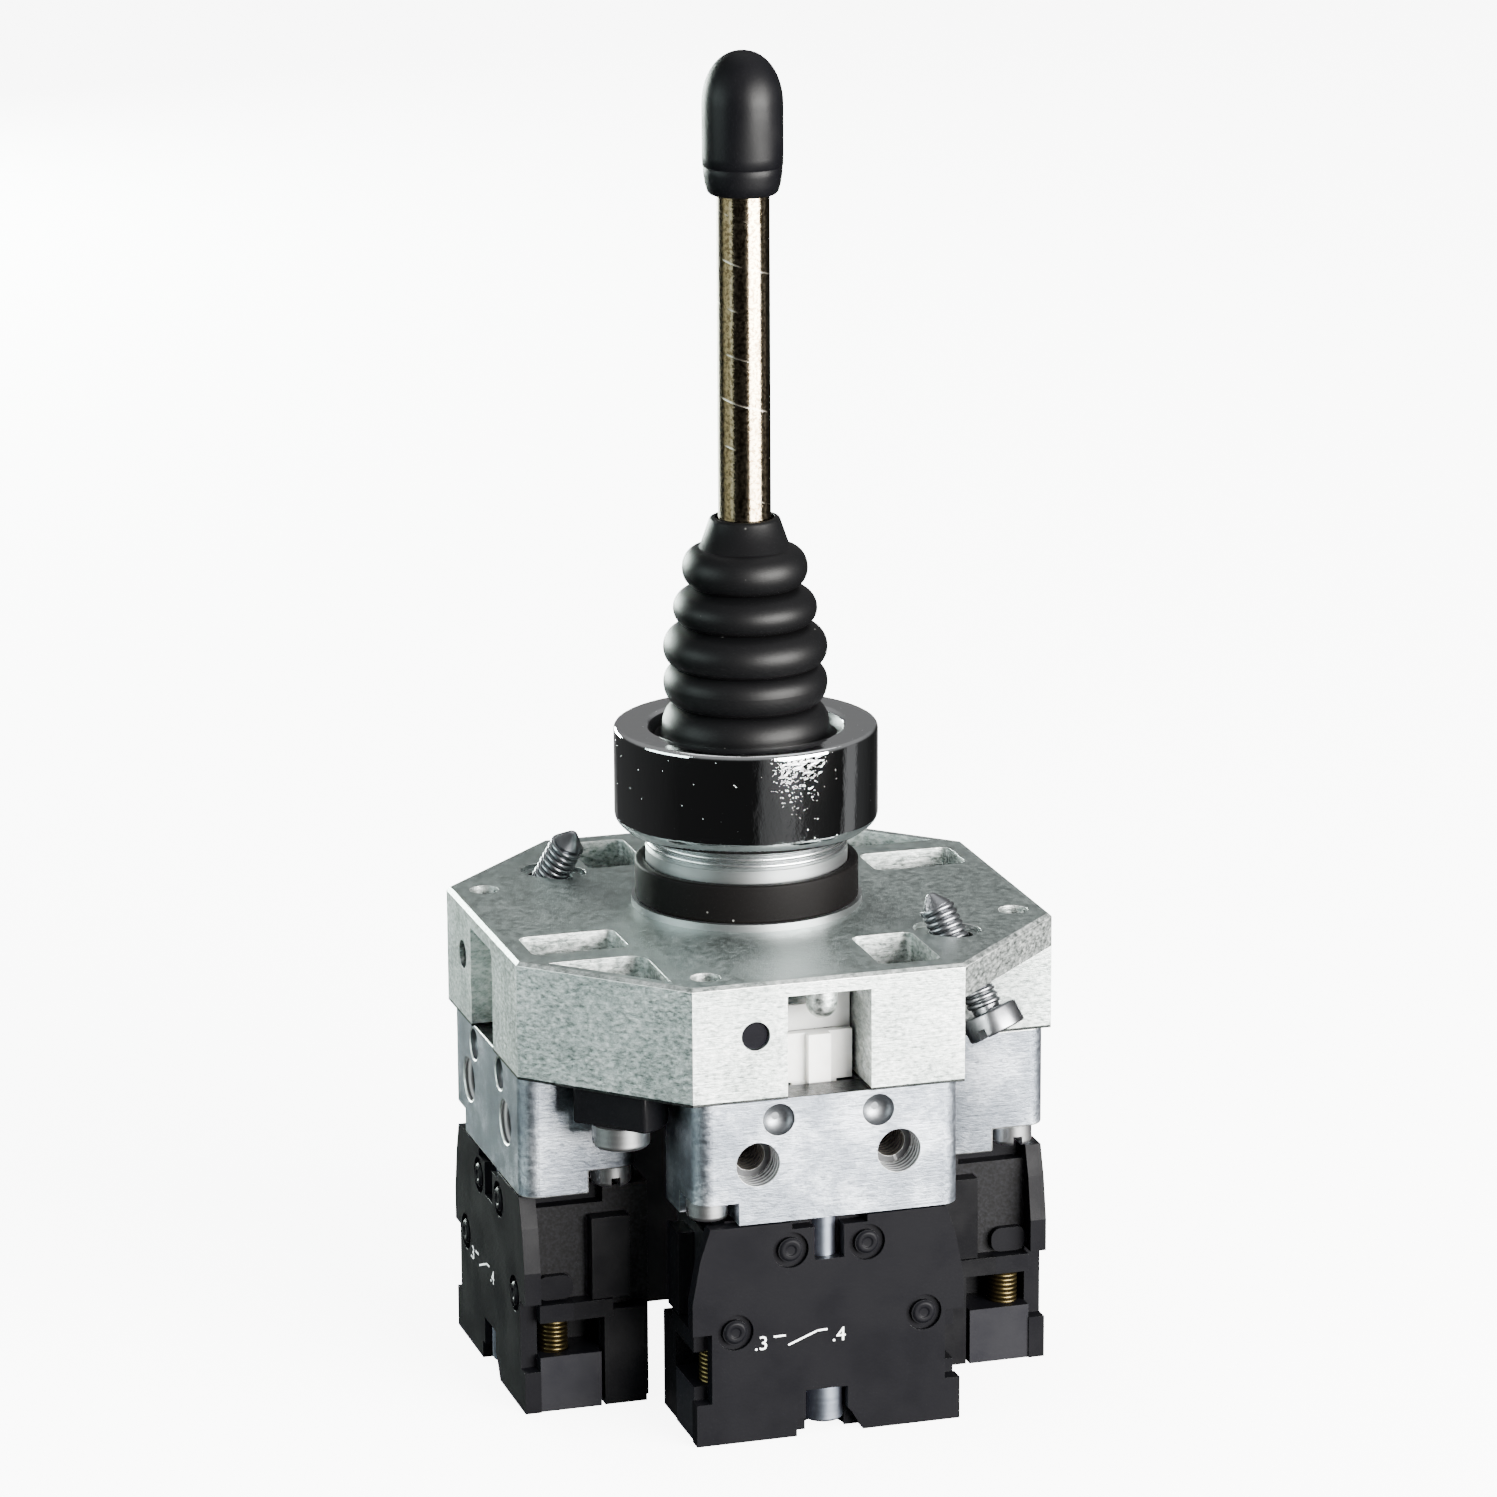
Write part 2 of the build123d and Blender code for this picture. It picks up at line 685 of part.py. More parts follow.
cross_hub_low = plate_top - hub_drop - hub_height
with BuildPart() as cross_nut:
    with BuildSketch(Plane.XY.offset(cross_hub_low)):
        RegularPolygon(nut_flats / 2, 6, major_radius=False)
        Circle(stem_radius + pin_fit, mode=Mode.SUBTRACT)
    extrude(amount=-nut_height)
write_piece(cross_nut.part, "cross_nut")

# Bottom cover: a moulding between the carriers, with a round lug for the screw in each full corner
cover_lug_sum = plate_width - plate_corner - cover_lug_inset / diagonal
with BuildPart() as cover:
    with BuildSketch(Plane.XY.offset(carrier_top)) as cover_plan:
        for end in (-1, 1):
            boss = end * cover_screw_place
            web = end * (cover_screw_place - cover_lug_radius / 2)
            with Locations((boss, boss)):
                Circle(cover_lug_radius)
            with Locations((web, web)):
                Rectangle(cover_lug_radius, cover_lug_radius)
            with BuildLine():
                Polyline((end * cover_lug_sum, 0), (end * 2 * plate_width, 0), (0, end * 2 * plate_width),
                         (0, end * cover_lug_sum), close=True)
            make_face(mode=Mode.SUBTRACT)
        Rectangle(2 * cover_half, 2 * cover_half)
        with PolarLocations(cover_notch_reach + cover_half, 4):
            Rectangle(2 * cover_half, 2 * cover_notch_half, mode=Mode.SUBTRACT)
        with Locations((-cover_screw_place, -cover_screw_place), (cover_screw_place, cover_screw_place)):
            Circle(cover_screw_radius + thread_fit, mode=Mode.SUBTRACT)
    extrude(amount=-cover_thickness)
write_piece(cover.part, "bottom_cover")

cover_screw_shape = pan_screw(cover_screw_radius, cover_thickness + cover_screw_rise,
                              cover_head_radius, cover_head_height, large_head_edge)
cover_seat = carrier_top - cover_thickness
with BuildPart() as cover_screws:
    with Locations((-cover_screw_place, -cover_screw_place, cover_seat),
                   (cover_screw_place, cover_screw_place, cover_seat)):
        add(cover_screw_shape)
write_piece(cover_screws.part, "cover_screws")

# Clamp screws: pointed, oblique, reached from below outside the two thin corners
with BuildPart() as clamp_screw:
    with BuildSketch(Plane.XZ):
        with BuildLine():
            Polyline((0, 0), (clamp_radius, -clamp_tip), (clamp_radius, -clamp_length),
                     (clamp_head_radius, -clamp_length),
                     (clamp_head_radius, -clamp_length - clamp_head_height),
                     (0, -clamp_length - clamp_head_height), close=True)
        make_face()
    revolve(axis=Axis.Z)
    with Locations((0, 0, -clamp_length - clamp_head_height)):
        Box(2 * clamp_head_radius, slot_width, 2 * slot_depth, mode=Mode.SUBTRACT)
with BuildPart() as clamp_screws:
    for corner, rise in zip((1, -1), clamp_rises):
        with Locations(clamp_plane(corner, rise)):
            add(clamp_screw.part)
write_piece(clamp_screws.part, "clamp_screws")

# Guide pins: round, pressed in beside each window, through the guide's ear
with BuildPart() as guide_pin:
    with BuildSketch(side_plane(0, plate_half - guide_pin_inset)):
        with Locations((-guide_pin_x, plate_top - guide_pin_level)):
            Circle(guide_pin_radius)
    extrude(amount=guide_pin_end - plate_half + guide_pin_inset)
write_piece(turned_group(guide_pin.part), "guide_pins")

# Pusher guide: an arch that stands across the window behind the peg, with an ear for its pin
guide_low = carrier_top + guide_fit
arch_half = web_half + slide_gap
arch_top = plate_top - guide_bar
with BuildPart() as guide:
    with BuildSketch(side_plane(0, guide_inner)) as arch:
        with BuildLine():
            Polyline((-guide_half, guide_low), (-arch_half, guide_low), (-arch_half, arch_top),
                     (arch_half, arch_top), (arch_half, guide_low), (guide_half, guide_low),
                     (guide_half, ceiling - guide_fit), (guide_step_x, ceiling - guide_fit),
                     (guide_step_x, plate_top - guide_step), (-guide_half, plate_top - guide_step),
                     (-ear_end, plate_top - guide_step), (-ear_end, plate_top - ear_bottom),
                     (-guide_half, plate_top - ear_bottom), close=True)
        make_face()
        with Locations((-guide_pin_x, plate_top - guide_pin_level)):
            Circle(guide_pin_radius + guide_pin_fit, mode=Mode.SUBTRACT)
    extrude(amount=guide_thickness)
write_sides(guide.part, "pusher_guide")

# Pusher: shoulder under the cross's nose, a low web through the guide, a tab in the window, a stem below
with BuildPart() as pusher:
    with BuildSketch(Plane.XY.offset(plate_top - pusher_floor)):
        between(shoulder_inner, shoulder_outer, shoulder_half)
    extrude(amount=pusher_floor - pusher_top)
    with BuildSketch(Plane.XY.offset(plate_top - pusher_floor)):
        between(shoulder_outer, tab_inner, web_half)
    extrude(amount=pusher_floor - web_top)
    with BuildSketch(Plane.XY.offset(plate_top - pusher_floor)):
        between(tab_inner, tab_outer, tab_half)
        with Locations((rib_shift, -tab_outer - rib_depth / 2)):
            Rectangle(rib_width, rib_depth)
    extrude(amount=pusher_floor - tab_top)
    with BuildSketch(Plane.XY.offset(plunger_top)):
        between(stem_inner, stem_outer, web_half)
    extrude(amount=plate_top - pusher_floor - plunger_top)
write_sides(pusher.part, "pusher")

# Carrier: a cast block with the pusher's shaft through it
with BuildPart() as carrier:
    with BuildSketch(Plane.XY.offset(block_height)):
        with Locations((0, -(face_reach + carrier_inner) / 2)):
            RectangleRounded(carrier_width, carrier_depth, carrier_corner)
    extrude(amount=carrier_height)
    with BuildSketch(Plane.XY.offset(carrier_top)):
        between(carrier_inner, recess_outer, recess_half)
    extrude(amount=-recess_depth, mode=Mode.SUBTRACT)
    with BuildSketch(Plane.XY.offset(block_height)):
        between(stem_inner - slide_gap, stem_outer + slide_gap, shaft_half)
    extrude(amount=carrier_height, mode=Mode.SUBTRACT)

    # Notches for the two screw heads, at opposite ends
    notch_length = carrier_width / 2 - notch_edge_x
    notch_centre = notch_edge_x + notch_length / 2
    with BuildSketch(Plane.XY.offset(block_height)):
        with Locations((-notch_centre, -(face_reach + notch_outer_wall) / 2)):
            Rectangle(notch_length, face_reach - notch_outer_wall)
        with Locations((notch_centre, -(carrier_inner + notch_inner_wall) / 2)):
            Rectangle(notch_length, notch_inner_wall - carrier_inner)
    extrude(amount=notch_depth, mode=Mode.SUBTRACT)
    with BuildSketch(Plane.XY.offset(block_height)):
        with Locations((-carrier_screw_x, -carrier_screw_outer), (carrier_screw_x, -carrier_screw_inner)):
            Circle(carrier_screw_radius + thread_fit)
    extrude(amount=carrier_height, mode=Mode.SUBTRACT)
    with BuildSketch(Plane.XY.offset(block_height)):
        with Locations((0, -fixing_reach)):
            Circle(fixing_radius + fixing_fit)
    extrude(amount=fixing_rise + fixing_fit, mode=Mode.SUBTRACT)

    # Two tapped holes and two dimples in the outer face
    hole_height = plate_top - side_hole_level
    for radius, depth in ((side_hole_radius, side_hole_depth), (side_thread_radius, side_thread_depth)):
        with BuildSketch(side_plane(0, face_reach)):
            with Locations((-side_hole_x, hole_height), (side_hole_x, hole_height)):
                Circle(radius)
        extrude(amount=-depth, mode=Mode.SUBTRACT)
    with BuildSketch(side_plane(0, face_reach)):
        with Locations((-dimple_x, plate_top - dimple_level), (dimple_x, plate_top - dimple_level)):
            Circle(dimple_radius)
    extrude(amount=-dimple_depth, mode=Mode.SUBTRACT)
write_sides(carrier.part, "carrier")

carrier_seat = block_height + notch_depth
carrier_screw_shape = pan_screw(carrier_screw_radius, carrier_top + carrier_screw_rise - carrier_seat,
                                carrier_head_radius, carrier_head_height, large_head_edge)
short_screw_length = plate_top - pocket_depth - carrier_seat - screw_end_gap
short_screw_shape = pan_screw(carrier_screw_radius, short_screw_length, carrier_head_radius,
                              carrier_head_height, large_head_edge)
with BuildPart() as carrier_pair:
    with Locations((-carrier_screw_x, -carrier_screw_outer, carrier_seat)):
        add(carrier_screw_shape)
    with Locations((carrier_screw_x, -carrier_screw_inner, carrier_seat)):
        add(short_screw_shape)
write_piece(turned_group(carrier_pair.part), "carrier_screws")


def strip_plan(height, grow):
    # Both fixed contacts in plan: an arm into the chamber and a plate over the wire window
    with BuildSketch(Plane.XY.offset(height)) as plan:
        for end in (-1, 1):
            with Locations((end * (strip_start + strip_end) / 2, -(strip_inner + strip_arm_outer) / 2)):
                Rectangle(strip_end - strip_start + 2 * grow, strip_arm_outer - strip_inner + 2 * grow)
            with Locations((end * (window_start + strip_end) / 2, -(strip_inner + strip_outer) / 2)):
                Rectangle(strip_end - window_start + 2 * grow, strip_outer - strip_inner + 2 * grow)
    return plan.sketch


# Hollows of a contact block, cut from both half shells: the chamber, the plunger's bore,
# the wire windows, the seats of the strips and the screw holes
window_run = plate_half - window_start
terminal_places = [(end * terminal_x, -terminal_reach) for end in (-1, 1)]
with BuildPart() as block_hollows:
    with BuildSketch(Plane.XY.offset(chamber_low)):
        between(chamber_inner, chamber_outer, chamber_half)
    extrude(amount=chamber_high - chamber_low)
    with BuildSketch(Plane.XY.offset(chamber_high)):
        with Locations((0, -plunger_reach)):
            Circle(plunger_radius + plunger_fit)
    extrude(amount=block_height - chamber_high)
    with BuildSketch(Plane.XY.offset(window_low)):
        for end in (-1, 1):
            with Locations((end * (window_start + window_run / 2), -(window_inner + block_core_outer) / 2)):
                Rectangle(window_run, block_core_outer - window_inner)
    extrude(amount=window_high - window_low)
    extrude(strip_plan(window_high, strip_fit), amount=strip_thickness)
    with BuildSketch(Plane.XY):
        with Locations(*terminal_places):
            Circle(terminal_radius + terminal_fit)
    extrude(amount=strip_top + terminal_rise + terminal_fit)
    with BuildSketch(Plane.XY):
        with Locations(*terminal_places):
            Circle(terminal_head_radius + terminal_fit)
    extrude(amount=terminal_head_high)

# Outer half shell: the printed face, its rivet studs, and the shell behind it to the stepped joint
with BuildPart() as outer_shell:
    with BuildSketch(Plane.YZ):
        with BuildLine():
            Polyline(*reach_profile([(block_core_outer, 0), (block_core_outer, core_end_top),
                                     (parting_top, core_end_top), *parting_step, (foot_inner, window_low),
                                     (foot_inner, 0)]), close=True)
        make_face()
    extrude(amount=core_half, both=True)
    with BuildSketch(Plane.XY.offset(core_end_top)):
        between(parting_top, block_core_outer, core_top_half)
    extrude(amount=block_height - core_end_top)
    with BuildSketch(Plane.XY):
        between(foot_inner, block_core_outer, end_half)
    extrude(amount=window_low)
    with BuildSketch(Plane.XY.offset(window_high)):
        between(parting_low, block_core_outer, end_half)
    extrude(amount=ledge_top - window_high)
    with BuildSketch(Plane.YZ):
        with Locations((-(ridge_inner + block_core_outer) / 2, ridge_level)):
            RectangleRounded(block_core_outer - ridge_inner, ridge_height, ridge_radius)
    extrude(amount=ridge_half, both=True)

    # The face plate, with its notches and sloping shoulders
    face_outline = [(half_side - inset, height) for inset, height in face_lower]
    face_outline += [(half_side - inset, block_height - drop) for inset, drop in face_upper]
    with BuildSketch(side_plane(0, block_core_outer)) as face:
        with BuildLine():
            Polyline(*[(-x, z) for x, z in face_outline], *reversed(face_outline), close=True)
        make_face()
    extrude(amount=face_thickness)
    with BuildSketch(side_plane(0, face_reach)):
        with BuildLine():
            Polyline(*foot_notch, close=True)
        make_face()
        with BuildLine():
            Polyline(*[(x, block_height - drop) for x, drop in top_notch], close=True)
        make_face()
    extrude(amount=-face_thickness, mode=Mode.SUBTRACT)
    with BuildSketch(side_plane(0, face_reach)):
        with Locations(*lower_rivets, *[(x, block_height - drop) for x, drop in upper_rivets]):
            Circle(rivet_recess)
            Circle(rivet_radius, mode=Mode.SUBTRACT)
    extrude(amount=-rivet_depth, mode=Mode.SUBTRACT)

    add(block_hollows.part, mode=Mode.SUBTRACT)
    with BuildSketch(Plane.XY):
        with Locations((0, -fixing_reach)):
            Circle(fixing_radius + fixing_fit)
    extrude(amount=block_height, mode=Mode.SUBTRACT)
    with BuildSketch(Plane.XY):
        with Locations((0, -fixing_reach)):
            Circle(fixing_head_radius + fixing_fit)
    extrude(amount=fixing_head_low + fixing_head_height, mode=Mode.SUBTRACT)
write_sides(outer_shell.part, "block_outer_shell")

# Inner half shell: the other side of the stepped joint, with end walls in two steps
with BuildPart() as inner_shell:
    with BuildSketch(Plane.YZ):
        with BuildLine():
            inner_section = [(block_inner, 0), (block_inner, block_height), (parting_top, block_height),
                             *parting_step, (foot_inner, window_low), (foot_inner, 0)]
            Polyline(*reach_profile(inner_section), close=True)
        make_face()
    extrude(amount=core_half, both=True)
    for (deep, shallow), low, high in ((upper_wing_depths, upper_wing_low, block_height - upper_wing_drop),
                                       (lower_wing_depths, 0, lower_wing_top)):
        with BuildSketch(Plane.XY.offset(low)):
            for end in (-1, 1):
                with Locations((end * (core_half + wing_half) / 2, (deep + shallow) / 2 - face_reach)):
                    Rectangle(wing_half - core_half, deep - shallow)
        extrude(amount=high - low)
    with BuildSketch(Plane.XY.offset(window_high)):
        between(ledge_inner, parting_low, end_half)
    extrude(amount=ledge_top - window_high)
    add(block_hollows.part, mode=Mode.SUBTRACT)
write_sides(inner_shell.part, "block_inner_shell")

# Fixed contacts: two strips, each with a button under the bridge and a hole for its terminal screw
with BuildPart() as strips:
    extrude(strip_plan(window_high, 0), amount=strip_thickness)
    with BuildSketch(Plane.XY.offset(window_high)):
        with Locations(*terminal_places):
            Circle(terminal_radius)
    extrude(amount=strip_thickness, mode=Mode.SUBTRACT)
    with BuildSketch(Plane.XY.offset(strip_top)):
        with Locations((-button_x, -plunger_reach), (button_x, -plunger_reach)):
            Circle(button_radius)
    extrude(amount=button_height)
write_sides(strips.part, "fixed_contacts")

# Contact bridge: a strip held across the plunger, with a button over each fixed contact
with BuildPart() as bridge:
    with BuildSketch(Plane.XY.offset(bridge_low)):
        with Locations((0, -plunger_reach)):
            Rectangle(2 * bridge_half, bridge_width)
    extrude(amount=bridge_thickness)
    with BuildSketch(Plane.XY.offset(bridge_low - button_height)):
        with Locations((-button_x, -plunger_reach), (button_x, -plunger_reach)):
            Circle(button_radius)
    extrude(amount=button_height)
write_sides(bridge.part, "contact_bridge")

# Plunger: round, slotted for the bridge, its head in the carrier's shaft under the pusher
with BuildPart() as plunger:
    with BuildSketch(Plane.XY.offset(plunger_low)):
        with Locations((0, -plunger_reach)):
            Circle(plunger_radius)
    extrude(amount=plunger_top - plunger_low)
    with BuildSketch(Plane.XY.offset(bridge_low)):
        with Locations((0, -plunger_reach)):
            Rectangle(2 * bridge_half, bridge_width)
    extrude(amount=bridge_thickness, mode=Mode.SUBTRACT)
write_sides(plunger.part, "plunger")

# Plunger spring: round wire between the chamber's floor and the plunger's end
spring_length = plunger_low - chamber_low - 2 * wire_radius
with BuildPart() as spring:
    with BuildLine() as coil:
        Helix(spring_length / spring_turns, spring_length, spring_radius,
              center=(0, -plunger_reach, chamber_low + wire_radius))
    with BuildSketch(Plane(origin=coil.line @ 0, z_dir=coil.line % 0)):
        Circle(wire_radius)
    sweep(is_frenet=True)
write_sides(spring.part, "plunger_spring")

# Terminal screws: heads in the foot, shanks across the wire window into the strip
with BuildPart() as terminal_pair:
    terminal_length = strip_top + terminal_rise - terminal_head_high
    terminal_shape = pan_screw(terminal_radius, terminal_length, terminal_head_radius,
                               terminal_head_high - terminal_head_low, small_head_edge)
    with Locations(*[(x, y, terminal_head_high) for x, y in terminal_places]):
        add(terminal_shape)
write_piece(turned_group(terminal_pair.part), "terminal_screws")

# Fixing screws: up through each block behind its face, into the carrier
fixing_seat = fixing_head_low + fixing_head_height
fixing_shape = pan_screw(fixing_radius, block_height + fixing_rise - fixing_seat,
                         fixing_head_radius, fixing_head_height, small_head_edge)
with BuildPart() as fixing_screw:
    with Locations((0, -fixing_reach, fixing_seat)):
        add(fixing_shape)
write_piece(turned_group(fixing_screw.part), "fixing_screws")
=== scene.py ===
from math import atan2, cos, inf, pi, radians, sin, tan

import bmesh
import bpy
from mathutils import Matrix, Vector


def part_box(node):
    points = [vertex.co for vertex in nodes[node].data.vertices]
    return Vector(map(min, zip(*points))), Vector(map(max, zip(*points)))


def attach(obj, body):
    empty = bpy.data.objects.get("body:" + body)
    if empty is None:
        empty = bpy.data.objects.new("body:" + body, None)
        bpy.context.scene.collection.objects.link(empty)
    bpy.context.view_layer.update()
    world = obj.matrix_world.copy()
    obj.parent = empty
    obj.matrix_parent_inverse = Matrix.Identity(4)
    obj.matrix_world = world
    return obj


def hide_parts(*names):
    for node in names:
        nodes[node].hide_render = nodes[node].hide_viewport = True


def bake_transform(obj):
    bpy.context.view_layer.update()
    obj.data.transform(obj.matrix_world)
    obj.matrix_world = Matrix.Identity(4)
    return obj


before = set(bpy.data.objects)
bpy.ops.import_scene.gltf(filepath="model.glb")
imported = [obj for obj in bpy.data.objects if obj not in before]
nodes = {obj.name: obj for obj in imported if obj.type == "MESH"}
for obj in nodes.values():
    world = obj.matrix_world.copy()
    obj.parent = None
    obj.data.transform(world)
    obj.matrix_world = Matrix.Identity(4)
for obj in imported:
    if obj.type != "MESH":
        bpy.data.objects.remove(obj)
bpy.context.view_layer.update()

# Industrial joystick: bright machined and plated metal over charcoal contact blocks.
# Metres, +Z up, the same frame as the CAD. Side pieces are drawn on the front side and turned.
mm = 0.001
sideTurns = {"front": 0, "right": 90, "back": 180, "left": 270}
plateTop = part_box("mounting_plate")[1].z
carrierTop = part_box("mounting_plate")[0].z
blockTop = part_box("block_inner_shell_front")[1].z
weldDistance = 2e-6
threadDepth = 0.54  # of the pitch
faceReach = 29.6  # millimetres from the axis to the outer faces of carriers and blocks


def linearColour(code):
    # "#rrggbb" as written in a paint program, turned to the linear values that shaders take
    values = [int(code[at:at + 2], 16) / 255 for at in (1, 3, 5)]
    return [v / 12.92 if v <= 0.04045 else ((v + 0.055) / 1.055) ** 2.4 for v in values] + [1.0]


def addNode(tree, kind, values=None):
    # values: what each socket or property is set to, or the (node, output) pair that is linked to the socket
    node = tree.nodes.new(kind)
    for key, value in (values or {}).items():
        if isinstance(value, tuple) and isinstance(value[0], bpy.types.Node):
            tree.links.new(value[0].outputs[value[1]], node.inputs[key])
        elif isinstance(key, str) and key not in node.inputs:
            setattr(node, key, value)
        else:
            node.inputs[key].default_value = value
    return node


def maths(tree, operation, *terms):
    # Each term is a number or a (node, output) pair
    return addNode(tree, "ShaderNodeMath", {"operation": operation, **dict(enumerate(terms))}), "Value"


def ranged(tree, source, start, end, low=0.0, high=1.0):
    # Carries the values from start to end over to those from low to high
    return addNode(tree, "ShaderNodeMapRange", {"Value": source, "From Min": start, "From Max": end,
                                                "To Min": low, "To Max": high}), "Result"


def mixed(tree, share, first, second, blend="MIX"):
    values = {"blend_type": blend, "Fac": share, "Color1": first, "Color2": second}
    return addNode(tree, "ShaderNodeMixRGB", values), "Color"


def noise(tree, vector, scale, detail=2, roughness=0.5, distortion=0.0):
    values = {"Vector": vector, "Scale": scale, "Detail": detail, "Roughness": roughness,
              "Distortion": distortion}
    return addNode(tree, "ShaderNodeTexNoise", values), "Fac"


def stretched(tree, here, scale, turn=0.0):
    values = {"Vector": here, "Scale": scale, "Rotation": (0, 0, turn)}
    return addNode(tree, "ShaderNodeMapping", values), "Vector"


def facing(tree, vector, way):
    # How far a vector points along a way
    return addNode(tree, "ShaderNodeVectorMath", {"operation": "DOT_PRODUCT", 0: vector, 1: way}), "Value"


def split(tree, source):
    return addNode(tree, "ShaderNodeSeparateXYZ", {"Vector": source})


def ramped(tree, source, stops):
    node = addNode(tree, "ShaderNodeValToRGB", {"Fac": source})
    ramp = node.color_ramp
    while len(ramp.elements) < len(stops):
        ramp.elements.new(0.5)
    for element, (place, colour) in zip(ramp.elements, stops):
        element.position = place
        element.color = linearColour(colour) if isinstance(colour, str) else (colour, colour, colour, 1)
    return node, "Color"


def newMaterial(name, settings):
    # The last of what it returns is the (node, output) pair of the place on the object
    material = bpy.data.materials.new(name)
    material.use_nodes = True
    tree = material.node_tree
    shader = tree.nodes["Principled BSDF"]
    for key, value in settings.items():
        shader.inputs[key].default_value = value
    return material, tree, shader, (addNode(tree, "ShaderNodeTexCoord"), "Object")


def feed(tree, shader, sources):
    for socket, (node, output) in sources.items():
        tree.links.new(node.outputs[output], shader.inputs[socket])


def addBump(tree, shader, height, strength, distance):
    bump = addNode(tree, "ShaderNodeBump", {"Strength": strength, "Distance": distance, "Height": height})
    feed(tree, shader, {"Normal": (bump, "Normal")})


def addReach(tree, place):
    # How far out a point lies, along X and along Y
    return [maths(tree, "ABSOLUTE", (place, axis)) for axis in "XY"]


# Materials
noiseSpan = (0.35, 0.65)  # where nearly all values of a noise lie
# How strong each bump is, and how deep in metres
relief = {"cast": (0.5, 0.00012), "bore": (0.8, 0.0001), "plated": (0.06, 0.00002), "nickel": (0.12, 0.00003),
          "chrome": (0.6, 0.00012), "rubber": (0.3, 0.00004), "acetal": (0.08, 0.00004)}
castLook = {
    "die-cast zinc": {"dark": "#727c7a", "mid": "#c6cdcb", "light": "#fafcfb", "rough": (0.34, 0.54),
                      "grain": 0.72},
    "bright zinc casting": {"dark": "#7a818b", "mid": "#979ea8", "light": "#d3d9e2", "rough": (0.34, 0.5),
                            "grain": 0.36},
    "worn zinc edge": {"dark": "#d4d7d6", "mid": "#e6e8e6", "light": "#f4f6f4", "rough": (0.44, 0.54),
                       "grain": 0.6},
}
castStops = (0.38, 0.5, 0.62)
castSkin = {"walls": 0.8, "level": 0.3, "levelShade": (0.48, 0.51, 0.51, 1), "levelFrom": 0.8, "levelTo": 0.95}
# Sizes in millimetres, the turn in radians
castGrain = {"cloud": 6.0, "crystal": 0.5, "brush": (3.5, 0.11), "brushTurn": 0.3, "brushShare": 0.25}
# Painted shade: less light gets into the openings in the sides, and a painted shadow lies in the seam under
# the plate; in metres
castShade = {"outer": 29.4 * mm, "inner": 21 * mm, "inside": 0.16,
             "from": plateTop - 3.4 * mm, "full": plateTop - 4.2 * mm}
seamShadowLook = {"middle": carrierTop + 0.12 * mm, "half": 0.18 * mm, "colour": "#0c0e0f", "amount": 0.95}
chamferReach = max(abs(v.co.x) + abs(v.co.y) for v in nodes["mounting_plate"].data.vertices)
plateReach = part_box("mounting_plate")[1].x


def castZinc(name):
    # Die-cast zinc: a fine sparkling crystal skin under a soft cloudy patina, with faint brush marks
    look = castLook[name]
    material, tree, shader, here = newMaterial(name, {"Metallic": 1.0})
    cloud = noise(tree, here, 1000 / castGrain["cloud"], 4, 0.55)
    crystal = noise(tree, stretched(tree, here, (0.6, 0.6, 1.2)), 1000 / castGrain["crystal"], 6, 0.72)
    patina = mixed(tree, look["grain"], cloud, crystal)
    tones = ramped(tree, patina, list(zip(castStops, (look["dark"], look["mid"], look["light"]))))
    # Level faces keep less of the crystal skin, and their colour is darkened as painted shade on the tops
    upness = split(tree, (here[0], "Normal"))
    level = ranged(tree, (upness, "Z"), castSkin["levelFrom"], castSkin["levelTo"])
    skin = ranged(tree, level, 0, 1, castSkin["walls"], castSkin["level"])
    grained = mixed(tree, skin, linearColour(look["mid"]), tones)
    colour = mixed(tree, level, grained, castSkin["levelShade"], "MULTIPLY")
    place = split(tree, here)
    reaches = addReach(tree, place)
    cornerwise = maths(tree, "MULTIPLY", maths(tree, "ADD", *reaches), plateReach / chamferReach)
    outness = maths(tree, "MAXIMUM", maths(tree, "MAXIMUM", *reaches), cornerwise)
    inside = ranged(tree, outness, castShade["outer"], castShade["inner"])
    below = ranged(tree, (place, "Z"), castShade["from"], castShade["full"])
    hidden = maths(tree, "MULTIPLY", inside, below)
    shaded = mixed(tree, hidden, colour, (castShade["inside"],) * 3 + (1,), "MULTIPLY")
    # Painted shadow: a dark line along the seam under the plate
    seam = maths(tree, "COMPARE", (place, "Z"), seamShadowLook["middle"], seamShadowLook["half"])
    seamShadow = maths(tree, "MULTIPLY", seam, seamShadowLook["amount"])
    seamShadowed = mixed(tree, seamShadow, shaded, linearColour(seamShadowLook["colour"]))
    feed(tree, shader, {"Base Color": seamShadowed, "Roughness": ranged(tree, crystal, *noiseSpan, *look["rough"])})
    along, across = castGrain["brush"]
    strokes = (1000 / along, 1000 / across, 1000 / across)
    brush = noise(tree, stretched(tree, here, strokes, castGrain["brushTurn"]), 1)
    addBump(tree, shader, mixed(tree, castGrain["brushShare"], crystal, brush), *relief["cast"])
    return material


boreLook = {"pitch": 0.7, "dark": "#3a3b3d"}  # pitch in millimetres


def tappedBore(name, code):
    # A tapped hole in the casting: ridges set across the way into the part, with painted highlight on the
    # ridges and painted shade between them
    material, tree, shader, here = newMaterial(name, {"Metallic": 0.35, "Roughness": 0.4})
    place = split(tree, here)
    reach = maths(tree, "MAXIMUM", *addReach(tree, place))
    wave = maths(tree, "SINE", maths(tree, "MULTIPLY", reach, 2 * pi * 1000 / boreLook["pitch"]))
    ridge = ranged(tree, wave, -1, 1)
    # Painted highlight and shade: the ridges lighter, the grooves darker
    feed(tree, shader, {"Base Color": mixed(tree, ridge, linearColour(boreLook["dark"]), linearColour(code))})
    addBump(tree, shader, ridge, *relief["bore"])
    return material


platedLook = {"fine": 900, "rings": (120, 120, 9000), "smoothest": 0.85, "roughest": 1.2}


